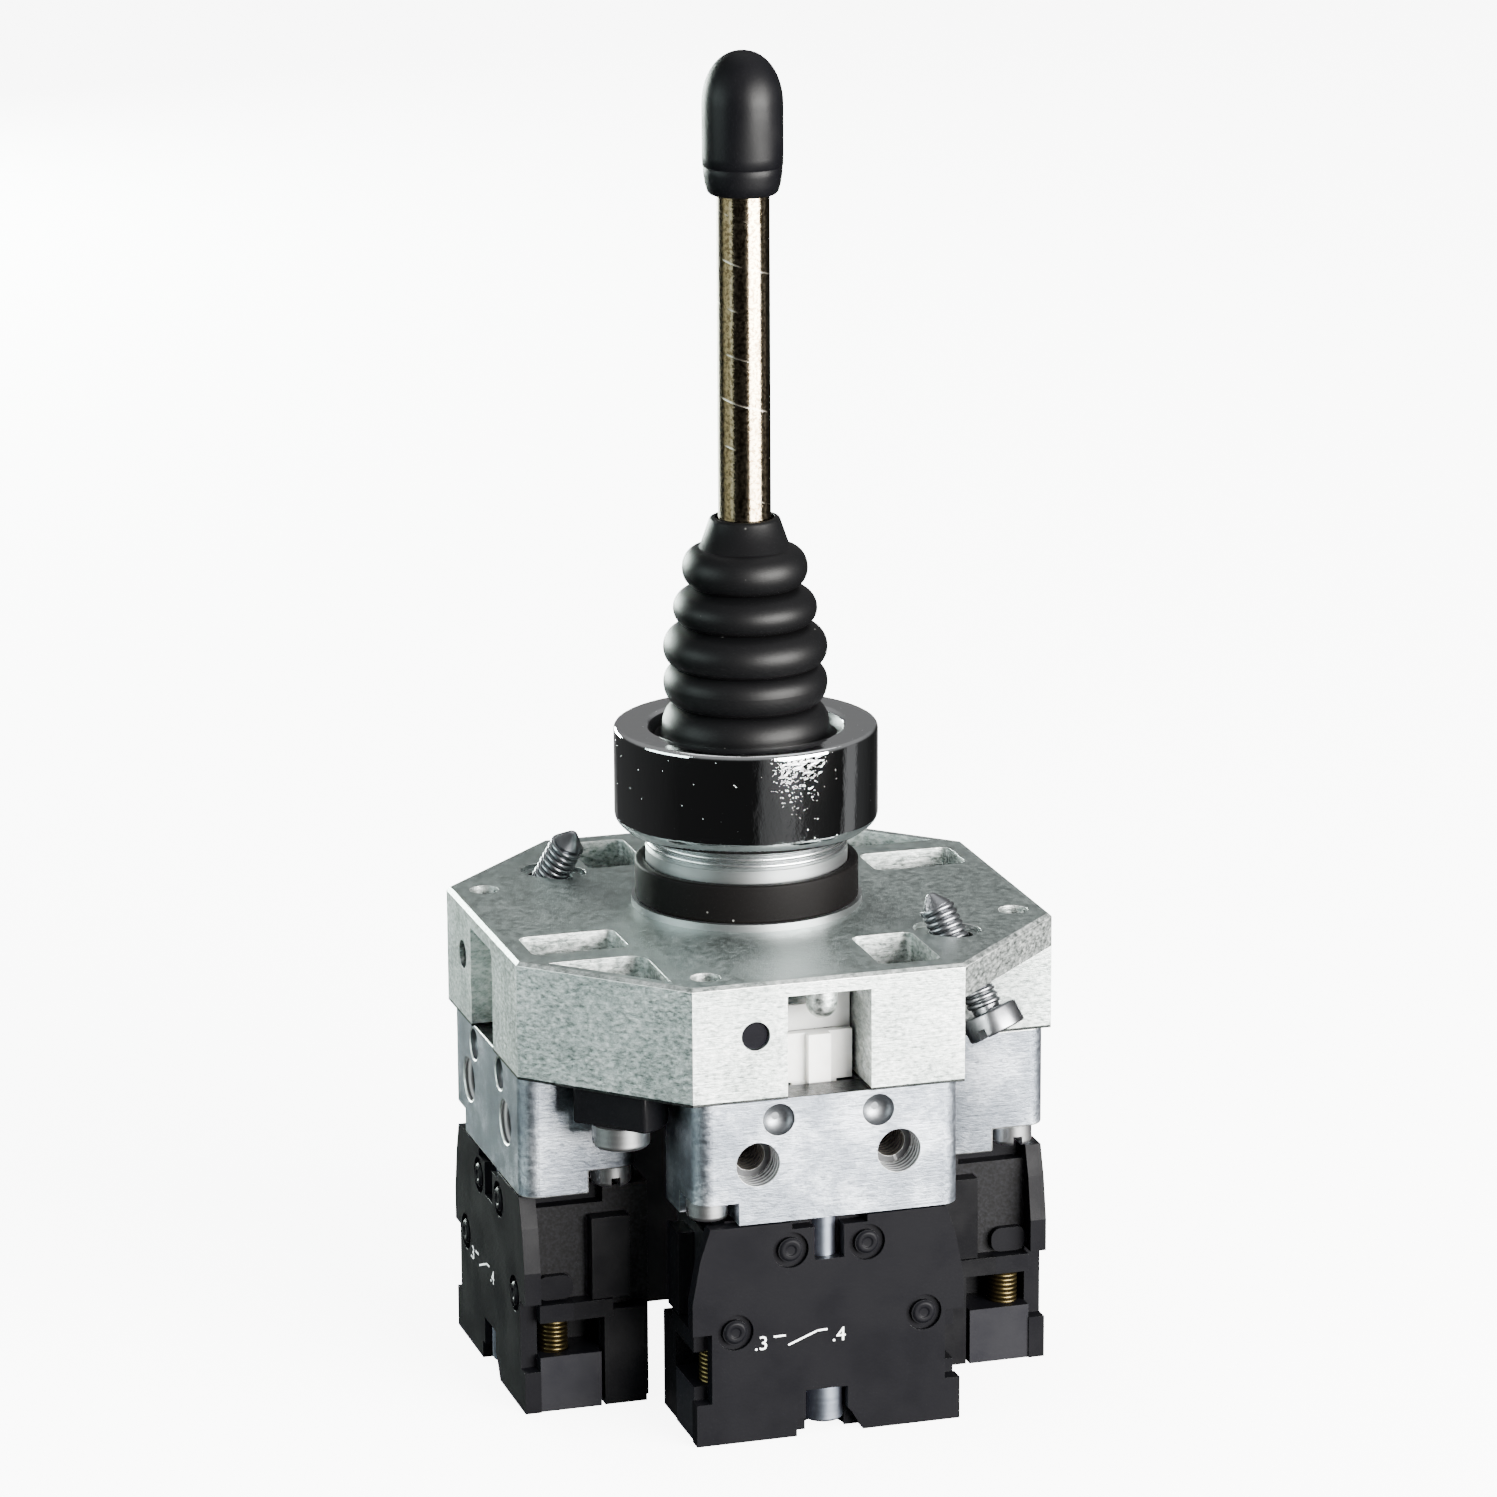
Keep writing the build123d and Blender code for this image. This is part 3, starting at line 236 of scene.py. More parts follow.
def platedSteel(name, code, rough, streak=0.0, tint=None):
    # Plated, turned steel: clear reflections broken by fine rings round the axis
    material, tree, shader, here = newMaterial(name, {"Metallic": 1.0})
    fine = noise(tree, here, platedLook["fine"], 3)
    rings = noise(tree, stretched(tree, here, platedLook["rings"]), 1)
    gloss = ranged(tree, rings, 0, 1, rough * platedLook["smoothest"], rough * platedLook["roughest"])
    tones = ramped(tree, fine, [(0.3, tint or code), (0.7, code)])
    feed(tree, shader, {"Base Color": tones, "Roughness": gloss})
    strength, depth = relief["plated"]
    addBump(tree, shader, rings, strength + streak, depth)
    return material


# Sizes in millimetres, the mark's width in pitches
rodLook = {"dark": "#6b5d48", "light": "#b0a28a", "mark": "#f4ecdd", "rough": (0.16, 0.22), "speck": 0.35,
           "gaps": 3.0, "markPitch": 5.0, "markWidth": 0.05, "worn": (0.94, -0.34, 0), "awaySideTint": "#8d8576",
           "awaySideDull": 0.16, "markDull": 0.3, "markDepth": 0.6, "rings": (200, 200, 9000)}


def turnedNickel(name):
    # Nickel plate on a turned rod: highlights drawn out along the rod, a brown patina, painted shade on one
    # side and a spiral tool mark
    material, tree, shader, here = newMaterial(name, {"Metallic": 1.0, "Anisotropic": 0.75,
                                                      "Anisotropic Rotation": 0.25})
    around = addNode(tree, "ShaderNodeTangent", {"direction_type": "RADIAL", "axis": "Z"})
    speck = noise(tree, here, 1000 / rodLook["speck"], 4, 0.7)
    patina = ramped(tree, speck, [(0.42, rodLook["dark"]), (0.56, rodLook["light"])])
    place = split(tree, here)
    lift = maths(tree, "MULTIPLY", maths(tree, "ARCTAN2", (place, "Y"), (place, "X")), 0.5 / pi)
    turnsUp = maths(tree, "MULTIPLY_ADD", (place, "Z"), 1000 / rodLook["markPitch"], lift)
    line = ranged(tree, maths(tree, "FRACT", turnsUp), rodLook["markWidth"], 0)
    broken = ranged(tree, noise(tree, here, 1000 / rodLook["gaps"]), 0.5, 0.6)
    mark = maths(tree, "MULTIPLY", line, broken)
    # Painted shade: the side turned away from the lit side is painted darker and browner, and made rougher
    kept = ranged(tree, facing(tree, (here[0], "Normal"), rodLook["worn"]), -0.15, -0.5)
    sideShaded = mixed(tree, kept, patina, linearColour(rodLook["awaySideTint"]), "MULTIPLY")
    gloss = ranged(tree, speck, *noiseSpan, *rodLook["rough"])
    dulled = maths(tree, "MULTIPLY_ADD", kept, rodLook["awaySideDull"], gloss)
    feed(tree, shader, {"Tangent": (around, "Tangent"),
                        "Base Color": mixed(tree, mark, sideShaded, linearColour(rodLook["mark"])),
                        "Roughness": maths(tree, "MULTIPLY_ADD", mark, rodLook["markDull"], dulled)})
    rings = noise(tree, stretched(tree, here, rodLook["rings"]), 1)
    height = maths(tree, "MULTIPLY_ADD", mark, -rodLook["markDepth"], rings)
    addBump(tree, shader, height, *relief["nickel"])
    return material


chromeLook = {"colour": "#dfe1e3", "pit": (0.03, 0.065), "patchTowards": (0.12, -0.99, 0),
              "patch": (0.95, 0.985), "crinkle": 0.38, "ripples": (520, 520, 210), "pits": 760,
              "crinkles": 1900}


def mirrorChrome(name):
    # Bright chrome plate: a mirror with slow ripples from the casting, a few pits and a crinkled patch
    material, tree, shader, here = newMaterial(name, {"Metallic": 1.0, "Roughness": 0.05,
                                                      "Base Color": linearColour(chromeLook["colour"])})
    ripple = noise(tree, stretched(tree, here, chromeLook["ripples"]), 1, 4, 0.6)
    pits = addNode(tree, "ShaderNodeTexVoronoi", {"Vector": here, "Scale": chromeLook["pits"]})
    height = mixed(tree, 0.35, ripple, ranged(tree, (pits, "Distance"), *chromeLook["pit"]))
    crinkle = noise(tree, here, chromeLook["crinkles"], 5, distortion=1.2)
    towards = facing(tree, (here[0], "Normal"), chromeLook["patchTowards"])
    patch = ranged(tree, towards, *chromeLook["patch"], 0, chromeLook["crinkle"])
    swing = maths(tree, "SUBTRACT", crinkle, 0.5)
    addBump(tree, shader, maths(tree, "MULTIPLY_ADD", swing, patch, height), *relief["chrome"])
    return material


rubberLook = {"grain": 2600, "specks": 700, "patches": 200, "dustColour": "#8a8a86", "speckSize": (0.05, 0.1),
              "patch": (0.56, 0.66)}


def blackRubber(name, code, rough, dust, shine):
    # Moulded rubber: matte black with a soft sheen, fine grain and pale dust in patches
    material, tree, shader, here = newMaterial(name, {"Roughness": rough, "Specular IOR Level": shine})
    grain = noise(tree, here, rubberLook["grain"], 3)
    specks = addNode(tree, "ShaderNodeTexVoronoi", {"Vector": here, "Scale": rubberLook["specks"]})
    lint = ranged(tree, (specks, "Distance"), *rubberLook["speckSize"], 1, 0)
    where = ranged(tree, noise(tree, here, rubberLook["patches"]), *rubberLook["patch"], 0, dust)
    amount = maths(tree, "MULTIPLY", lint, where)
    colour = mixed(tree, amount, linearColour(code), linearColour(rubberLook["dustColour"]))
    feed(tree, shader, {"Base Color": colour})
    addBump(tree, shader, grain, *relief["rubber"])
    return material


mouldLook = {"fine": 3200, "cloud": 220, "stops": (0.38, 0.68), "glossSwing": 0.07, "depth": 0.00005}


def mouldedPlastic(name, code, rough, grain, light=None, shine=0.1):
    # Injection-moulded plastic: spark-eroded grain and an uneven gloss, with paler specks where asked
    material, tree, shader, here = newMaterial(name, {"Specular IOR Level": shine})
    fine = noise(tree, here, mouldLook["fine"])
    cloud = noise(tree, here, mouldLook["cloud"], 4)
    tones = ramped(tree, fine if light else cloud, list(zip(mouldLook["stops"], (code, light or code))))
    swing = mouldLook["glossSwing"]
    gloss = ranged(tree, cloud, *noiseSpan, rough - swing, rough + swing)
    feed(tree, shader, {"Base Color": tones, "Roughness": gloss})
    addBump(tree, shader, fine, grain, mouldLook["depth"])
    return material


acetalLook = {"dark": "#eeede9", "light": "#f8f7f4", "deep": "#a2a4a6", "deepFrom": 0.2 * mm,
              "deepTo": 2 * mm, "deepShare": 0.8, "fine": 700}


def whiteAcetal(name):
    # Acetal: dense white plastic that glows a little inside, with a waxy gloss
    material, tree, shader, here = newMaterial(name, {
        "Roughness": 0.34, "Subsurface Weight": 0.25, "Subsurface Scale": 0.002,
        "Subsurface Radius": (1, 0.9, 0.8)})
    fine = noise(tree, here, acetalLook["fine"], 3)
    tones = ramped(tree, fine, [(0.3, acetalLook["dark"]), (0.7, acetalLook["light"])])
    # Less light reaches the plastic that lies deeper in the slot
    place = split(tree, here)
    reach = maths(tree, "MAXIMUM", *addReach(tree, place))
    front = -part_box("pusher_front")[0].y
    deepFrom, deepTo = front - acetalLook["deepFrom"], front - acetalLook["deepTo"]
    deep = ranged(tree, reach, deepFrom, deepTo, 0, acetalLook["deepShare"])
    feed(tree, shader, {"Base Color": mixed(tree, deep, tones, linearColour(acetalLook["deep"]), "MULTIPLY")})
    addBump(tree, shader, fine, *relief["acetal"])
    return material


print("materials")
# Each finish: what makes it, the slot that its pieces are filed under, and its look
finishes = {
    "die-cast zinc": (castZinc, "die_cast_zinc", {}),
    "bright zinc casting": (castZinc, "bright_zinc_casting", {}),
    "worn zinc edge": (castZinc, "die_cast_zinc", {}),
    "tapped bore": (tappedBore, "bright_zinc_casting", {"code": "#d0d2d4"}),
    # Painted shade: the far ends of the tapped holes are given a darker colour
    "deep bore": (tappedBore, "bright_zinc_casting", {"code": "#6a655e"}),
    "drilled dimple": (platedSteel, "bright_zinc_casting",
                       {"code": "#8a8d91", "rough": 0.42, "tint": "#74777b"}),
    "mirror chrome": (mirrorChrome, "chrome", {}),
    # Painted shade: a dark chrome for the ring nut's sunk dish
    "dull chrome": (platedSteel, "chrome", {"code": "#4c4e50", "rough": 0.4}),
    "zinc-plated steel": (platedSteel, "zinc_plated_steel", {"code": "#b9bcbd", "rough": 0.26}),
    "bright screw plate": (platedSteel, "zinc_plated_steel",
                           {"code": "#e0e2e4", "rough": 0.3, "streak": -0.04}),
    "dark screw steel": (platedSteel, "zinc_plated_steel",
                         {"code": "#8b8d91", "rough": 0.3, "tint": "#74767a"}),
    "blue zinc plate": (platedSteel, "zinc_plated_steel",
                        {"code": "#ccd5e6", "rough": 0.3, "tint": "#b4bfd2"}),
    "nickel-plated rod": (turnedNickel, "nickel_plated_steel", {}),
    "satin plated steel": (platedSteel, "zinc_plated_steel", {"code": "#a9adae", "rough": 0.36}),
    "bare brass": (platedSteel, "brass", {"code": "#5c5135", "rough": 0.36, "tint": "#3f3722"}),
    "blackened steel": (platedSteel, "blackened_steel", {"code": "#17171a", "rough": 0.4}),
    "spring steel": (platedSteel, "spring_steel", {"code": "#8d8f92", "rough": 0.3}),
    "gaiter rubber": (blackRubber, "black_rubber",
                      {"code": "#050506", "rough": 0.47, "dust": 0.7, "shine": 0.14}),
    "gasket rubber": (blackRubber, "gasket_rubber",
                      {"code": "#060505", "rough": 0.6, "dust": 0.5, "shine": 0.07}),
    "soft black plastic": (mouldedPlastic, "soft_black_plastic",
                           {"code": "#050507", "rough": 0.46, "grain": 0.16, "shine": 0.11}),
    "charcoal moulding": (mouldedPlastic, "charcoal_moulding",
                          {"code": "#09090c", "rough": 0.46, "grain": 0.1, "shine": 0.06}),
    # Painted highlight: a lighter, shinier moulding on the rounded edges of the outer shells
    "rubbed moulding": (mouldedPlastic, "charcoal_moulding",
                        {"code": "#121216", "rough": 0.42, "grain": 0.1, "shine": 0.2}),
    "grained grey moulding": (mouldedPlastic, "grey_moulding",
                              {"code": "#070708", "rough": 0.52, "grain": 0.4, "light": "#111114"}),
    "black moulding": (mouldedPlastic, "black_moulding", {"code": "#070709", "rough": 0.38, "grain": 0.15}),
    "smooth grey moulding": (mouldedPlastic, "grey_moulding",
                             {"code": "#141418", "rough": 0.42, "grain": 0.15, "shine": 0.14}),
    "white acetal": (whiteAcetal, "white_acetal", {}),
    "white print": (mouldedPlastic, "white_acetal", {"code": "#e4e5e6", "rough": 0.5, "grain": 0.05}),
}
finish = {name: make(name, **look) for name, (make, slot, look) in finishes.items()}


# Helpers for pieces
def addObject(name, data):
    item = bpy.data.objects.new(name, data)
    bpy.context.scene.collection.objects.link(item)
    return item


def newPiece(name, mesh, body, replaced=()):
    piece = addObject(name, mesh)
    if body:
        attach(piece, body)
    if replaced:
        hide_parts(*replaced)
    return piece


def smoothMesh(mesh, angle=35):
    mesh.polygons.foreach_set("use_smooth", [True] * len(mesh.polygons))
    mesh.set_sharp_from_angle(angle=radians(angle))


def bakeObject(piece):
    # The evaluated shape as a plain mesh, with the modifiers gone
    bpy.context.view_layer.update()
    shape = piece.evaluated_get(bpy.context.evaluated_depsgraph_get())
    mesh = bpy.data.meshes.new_from_object(shape)
    bpy.data.objects.remove(piece)
    return mesh


softening = {"flat": 1, "segments": 2, "sharp": 40, "smooth": 20}  # angles in degrees


def softenedNode(name, width, finishNames, pickFinish=None):
    # A merged copy of a CAD piece with its edges rounded; the rounded edges get the second finish
    mesh = nodes[name].data.copy()
    mesh.materials.clear()
    for finishName in finishNames:
        mesh.materials.append(finish[finishName])
    work = bmesh.new()
    work.from_mesh(mesh)
    bmesh.ops.remove_doubles(work, verts=work.verts, dist=weldDistance)
    bmesh.ops.dissolve_limit(work, angle_limit=radians(softening["flat"]), verts=work.verts, edges=work.edges)
    work.normal_update()
    for face in work.faces:
        face.material_index = pickFinish(face) if pickFinish else 0
    work.to_mesh(mesh)
    work.free()
    piece = addObject(name + "_soft", mesh)
    bevel = piece.modifiers.new("edges", "BEVEL")
    bevel.width = width
    bevel.segments = softening["segments"]
    bevel.limit_method = "ANGLE"
    bevel.angle_limit = radians(softening["sharp"])
    bevel.material = 1
    bevel.use_clamp_overlap = True
    weights = piece.modifiers.new("flats", "WEIGHTED_NORMAL")
    weights.keep_sharp = True
    smoothMesh(mesh, softening["smooth"])
    return bakeObject(piece)


def newTree(name, sockets):
    # A geometry tree with a mesh, the given sizes and a finish coming in, and its entry
    tree = bpy.data.node_groups.new(name, "GeometryNodeTree")
    tree.interface.new_socket("Geometry", in_out="INPUT", socket_type="NodeSocketGeometry")
    for label, kind, value in sockets:
        item = tree.interface.new_socket(label, in_out="INPUT", socket_type=kind)
        item.default_value = value
    tree.interface.new_socket("Finish", in_out="INPUT", socket_type="NodeSocketMaterial")
    tree.interface.new_socket("Geometry", in_out="OUTPUT", socket_type="NodeSocketGeometry")
    return tree, addNode(tree, "NodeGroupInput")


def endTree(tree, entry, source):
    real = addNode(tree, "GeometryNodeRealizeInstances", {"Geometry": source})
    coloured = addNode(tree, "GeometryNodeSetMaterial", {
        "Geometry": (real, "Geometry"), "Material": (entry, "Finish")})
    addNode(tree, "NodeGroupOutput", {"Geometry": (coloured, "Geometry")})
    return tree


def swept(tree, path, profile, caps=False):
    # Sweeps a profile along a path that stands upright
    upright = addNode(tree, "GeometryNodeSetCurveNormal", {"mode": "Z_UP", "Curve": path})
    return addNode(tree, "GeometryNodeCurveToMesh", {
        "Curve": (upright, "Curve"), "Profile Curve": profile, "Fill Caps": caps}), "Mesh"


def growFrom(mesh, tree, values):
    # Runs a geometry tree on a mesh and returns the plain result
    piece = addObject(tree.name, mesh)
    modifier = piece.modifiers.new(tree.name, "NODES")
    modifier.node_group = tree
    for item in tree.interface.items_tree:
        if item.in_out == "INPUT" and item.name in values:
            modifier[item.identifier] = values[item.name]
    return bakeObject(piece)


def outlineMesh(name, points):
    # An open outline of (radius, height) points in the XZ plane, in metres
    mesh = bpy.data.meshes.new(name)
    mesh.from_pydata([(r, 0, z) for r, z in points], [(i, i + 1) for i in range(len(points) - 1)], [])
    return mesh


def buildTurningTree():
    # Turns an outline round Z: it is swept as a profile along a circle of radius 1, set back by that radius
    tree, entry = newTree("turnedOutline", [("Steps", "NodeSocketInt", 96)])
    outline = addNode(tree, "GeometryNodeMeshToCurve", {"Mesh": (entry, "Geometry")})
    flat = addNode(tree, "GeometryNodeTransform", {
        "Geometry": (outline, "Curve"), "Rotation": (pi / 2, 0, 0), "Translation": (-1, 0, 0)})
    circle = addNode(tree, "GeometryNodeCurvePrimitiveCircle", {
        "Radius": 1.0, "Resolution": (entry, "Steps")})
    wall = swept(tree, (circle, "Curve"), (flat, "Geometry"))
    merged = addNode(tree, "GeometryNodeMergeByDistance", {"Geometry": wall, "Distance": weldDistance / 2})
    return endTree(tree, entry, (merged, "Geometry"))


def buildThreadTree():
    # A thread: a round section swept along a helix
    tree, entry = newTree("screwThread", [
        ("Crest Radius", "NodeSocketFloat", 0.011), ("Pitch", "NodeSocketFloat", 0.0008),
        ("Length", "NodeSocketFloat", 0.004), ("Steps", "NodeSocketInt", 48)])
    turns = maths(tree, "DIVIDE", (entry, "Length"), (entry, "Pitch"))
    depth = maths(tree, "MULTIPLY", (entry, "Pitch"), threadDepth)
    root = maths(tree, "SUBTRACT", (entry, "Crest Radius"), depth)
    helix = addNode(tree, "GeometryNodeCurveSpiral", {
        "Resolution": (entry, "Steps"), "Rotations": turns, "Start Radius": root, "End Radius": root,
        "Height": (entry, "Length")})
    circle = addNode(tree, "GeometryNodeCurvePrimitiveCircle", {"Resolution": 12, "Radius": depth})
    section = addNode(tree, "GeometryNodeTransform", {"Geometry": (circle, "Curve"), "Scale": (0.9, 0.9, 1)})
    return endTree(tree, entry, swept(tree, (helix, "Curve"), (section, "Geometry"), True))


turningTree = buildTurningTree()
threadTree = buildThreadTree()


def cleaned(mesh, sharp, weld=None):
    # Turns all faces outward, after welding where asked, and smooths what isn't sharp
    work = bmesh.new()
    work.from_mesh(mesh)
    if weld:
        bmesh.ops.remove_doubles(work, verts=work.verts, dist=weld)
    bmesh.ops.recalc_face_normals(work, faces=work.faces)
    work.to_mesh(mesh)
    work.free()
    smoothMesh(mesh, sharp)
    return mesh


def turned(name, points, finishName, steps=96, sharp=35):
    mesh = growFrom(outlineMesh(name, points), turningTree, {"Steps": steps, "Finish": finish[finishName]})
    return cleaned(mesh, sharp, weldDistance)


def thread(crest, pitch, length, finishName, steps):
    values = {"Crest Radius": crest, "Pitch": pitch, "Length": length, "Steps": steps}
    seed = bpy.data.meshes.new("seed")
    return cleaned(growFrom(seed, threadTree, {**values, "Finish": finish[finishName]}), 60)


def joined(name, parts, sharp=None):
    # One mesh from several (mesh, matrix) pairs, keeping their materials
    work = bmesh.new()
    materials = []
    for mesh, place in parts:
        start = len(work.faces)
        work.from_mesh(mesh)
        work.verts.ensure_lookup_table()
        work.faces.ensure_lookup_table()
        fresh = work.faces[start:]
        for face in fresh:
            material = mesh.materials[face.material_index]
            if material not in materials:
                materials.append(material)
            face.material_index = materials.index(material)
        bmesh.ops.transform(work, matrix=place, verts=list({v for face in fresh for v in face.verts}))
    result = bpy.data.meshes.new(name)
    for material in materials:
        result.materials.append(material)
    work.to_mesh(result)
    work.free()
    if sharp:
        smoothMesh(result, sharp)
    return result


def rounded(points, radius, steps=4):
    # The outline with its inner corners rounded, for turned parts
    result = [points[0]]
    for before, corner, after in zip(points, points[1:], points[2:]):
        a, b, c = Vector(before), Vector(corner), Vector(after)
        cut = min(radius, (a - b).length * 0.45, (c - b).length * 0.45)
        start, end = b + (a - b).normalized() * cut, b + (c - b).normalized() * cut
        for step in range(steps + 1):
            t = step / steps
            result.append(tuple(start * (1 - t) ** 2 + b * 2 * t * (1 - t) + end * t ** 2))
    return result + [points[-1]]


def millimetres(points, base=0.0):
    return [(r * mm, base + z * mm) for r, z in points]


def turnedAbout(turn, place):
    return Matrix.Rotation(radians(turn), 4, "Z") @ place


# Ring nut
print("ring nut")
ringNut = {"radius": 14.35, "low": 8.7, "high": 20.0, "bore": 11.1, "lip": 9.6, "mouth": 10.7, "edge": 0.55,
           "chamfer": 1.1, "dish": 2.0, "dishReach": 10.65}
outline = rounded(millimetres([
    (ringNut["bore"], ringNut["low"]), (ringNut["radius"] - ringNut["chamfer"], ringNut["low"]),
    (ringNut["radius"], ringNut["low"] + ringNut["chamfer"]), (ringNut["radius"], ringNut["high"]),
    (ringNut["mouth"], ringNut["high"]), (ringNut["lip"], ringNut["high"] - ringNut["dish"]),
    (ringNut["bore"], ringNut["high"] - ringNut["dish"]), (ringNut["bore"], ringNut["low"])], plateTop),
    ringNut["edge"] * mm)
ringMesh = turned("ringNut", outline, "mirror chrome", 160, 60)
ringMesh.materials.append(finish["dull chrome"])
for polygon in ringMesh.polygons:  # painted shade: the sunk slope inside the rim is given a dark, rough chrome
    if polygon.center.xy.length < ringNut["dishReach"] * mm and polygon.normal.z > 0.1:
        polygon.material_index = 1
newPiece("ringNut", ringMesh, "base", ["ring_nut"])

# Neck, its thread and the gasket
print("neck")
neck = {"crest": 11.0, "bore": 8.5, "foot": 10.4, "footLow": -1.8, "flange": 12.6, "flangeHeight": 0.8,
        "top": 16.5, "pitch": 0.7, "threadFrom": 6.6, "lead": 0.3, "threadEnd": 0.5}
core = neck["crest"] - threadDepth * neck["pitch"]
outline = millimetres([
    (neck["bore"], neck["footLow"]), (neck["foot"], neck["footLow"]), (neck["foot"], 0), (neck["flange"], 0),
    (neck["flange"], neck["flangeHeight"]), (neck["crest"], neck["flangeHeight"]),
    (neck["crest"], neck["threadFrom"] - neck["lead"]), (core, neck["threadFrom"]),
    (core, neck["top"] - neck["lead"]), (core - neck["lead"], neck["top"]), (neck["bore"], neck["top"]),
    (neck["bore"], neck["footLow"])], plateTop)
threadLength = neck["top"] - neck["threadFrom"] - neck["threadEnd"]
neckMesh = joined("threadedNeck", [
    (turned("neckCore", outline, "satin plated steel", 128), Matrix()),
    (thread(neck["crest"] * mm, neck["pitch"] * mm, threadLength * mm, "zinc-plated steel", 72),
     Matrix.Translation((0, 0, plateTop + neck["threadFrom"] * mm)))], 50)
newPiece("threadedNeck", neckMesh, "base", ["threaded_neck"])

gasket = {"bore": 11.1, "radius": 12.2, "low": 0.8, "high": 5.0, "edge": 0.3}
outline = rounded(millimetres([
    (gasket["bore"], gasket["low"]), (gasket["radius"], gasket["low"]), (gasket["radius"], gasket["high"]),
    (gasket["bore"], gasket["high"]), (gasket["bore"], gasket["low"])], plateTop), gasket["edge"] * mm)
newPiece("panelGasket", turned("panelGasket", outline, "gasket rubber", 128, 50), "base",
         ["panel_gasket"])

# Gaiter: one outline, cut in two at a fold. Its points are heights with their radii
print("gaiter")
gaiter = {
    "folds": ((19.8, 9.1), (24.7, 8.9), (28.6, 8.9), (32.9, 7.8), (37.3, 6.8)),
    "valleys": ((22.35, 7.3), (26.6, 7.4), (31.1, 6.3), (35.2, 5.1)),
    "foot": (16.5, 9.3), "skirt": ((18.2, 9.3), (18.75, 9.95)), "shoulder": (39.6, 4.9), "top": (42.9, 3.75),
    "lip": 3.0, "lipEdge": 0.3, "lipInset": 0.05, "wall": 0.45, "cutFold": 1, "bendFrom": 18.5, "steps": 96,
    "foldSteps": 9, "valleyTurn": 0.92,
}


def foldCurve(folds, valleys):
    # Full round folds that meet in tight valleys: each fold is an ellipse between its two valleys
    result = []
    steps = gaiter["foldSteps"]
    for index, (foldZ, foldR) in enumerate(folds):
        for way, (valleyZ, valleyR) in ((-1, valleys[index]), (1, valleys[index + 1])):
            turns = [step / steps for step in (range(steps, 0, -1) if way < 0 else range(steps + 1))]
            for turn in turns:
                angle = turn * gaiter["valleyTurn"] * pi / 2
                radius = valleyR + (foldR - valleyR) * cos(angle)
                result.append((radius, foldZ + (valleyZ - foldZ) * sin(angle)))
        if index + 1 < len(folds):
            result.append(valleys[index + 1][::-1])
    return result


lip, lipHeight = gaiter["lip"], gaiter["top"][0]
outer = [gaiter["foot"][::-1]] + [(r, z) for z, r in gaiter["skirt"]]
outer += foldCurve(gaiter["folds"], [gaiter["skirt"][1], *gaiter["valleys"], gaiter["shoulder"]])
outer += rounded([gaiter["shoulder"][::-1], gaiter["top"][::-1], (lip, lipHeight)], gaiter["lipEdge"])
inner = [(max(r - gaiter["wall"], lip), z) for r, z in outer[:-1]] + [(lip - gaiter["lipInset"], lipHeight)]
cutHeight = gaiter["folds"][gaiter["cutFold"]][0]
slack = 1e-6  # millimetres


def gaiterHalf(name, low, high):
    out, back = [[p for p in line if low - slack <= p[1] <= high + slack] for line in (outer, inner)]
    points = millimetres(out + back[::-1] + [out[0]], plateTop)
    mesh = turned(name, points, "gaiter rubber", gaiter["steps"], 70)
    return newPiece(name, mesh, None, ["gaiter"])


lowerGaiter = gaiterHalf("gaiterLower", 0, cutHeight)
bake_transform(lowerGaiter)
upperGaiter = gaiterHalf("gaiterUpper", cutHeight, inf)
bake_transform(upperGaiter)

# Lever rod and grip cap
print("lever")
rod = {"radius": 2.85, "hub": 4.3, "hubHalf": 2.2, "stem": 2.3, "stemLow": -12.3, "top": 87.5, "pivot": 3.0,
       "edge": 0.15}
hubLow, hubTop = rod["pivot"] - rod["hubHalf"], rod["pivot"] + rod["hubHalf"]
outline = rounded(millimetres([
    (0, rod["stemLow"]), (rod["stem"], rod["stemLow"]), (rod["stem"], hubLow), (rod["hub"], hubLow),
    (rod["hub"], hubTop), (rod["radius"], hubTop), (rod["radius"], rod["top"]), (0, rod["top"])], plateTop),
    rod["edge"] * mm)
newPiece("leverRod", turned("leverRod", outline, "nickel-plated rod"), "lever",
         ["lever_rod"])

# The skirt's and the seam's points are heights over the cap's low end, with their radii
cap = {"radius": 4.34, "top": 93.2, "length": 15.3, "dome": 5.7, "domeSteps": 14, "fullness": 0.92,
       "bore": 2.9, "seat": 87.5, "skirt": ((0, 3.35), (0.08, 3.54), (0.35, 3.8), (1.2, 4.05), (2.2, 4.2)),
       "seam": ((2.88, 4.25), (3.0, 4.2), (3.12, 4.3)), "wallFrom": 4.2}
capLow = cap["top"] - cap["length"]
domeLow = cap["top"] - cap["dome"]
capOuter = [(cap["bore"], capLow)] + [(r, capLow + z) for z, r in cap["skirt"] + cap["seam"]]
capOuter += [(cap["radius"], capLow + cap["wallFrom"]), (cap["radius"], domeLow)]
for step in range(1, cap["domeSteps"]):
    angle = step / cap["domeSteps"] * pi / 2
    capOuter.append((cap["radius"] * cos(angle) ** cap["fullness"], domeLow + cap["dome"] * sin(angle)))
capOuter += [(0, cap["top"]), (0, cap["seat"]), (cap["bore"], cap["seat"]), (cap["bore"], capLow)]
newPiece("gripCap", turned("gripCap", millimetres(capOuter, plateTop), "soft black plastic", 96, 60), "lever",
         ["grip_cap"])

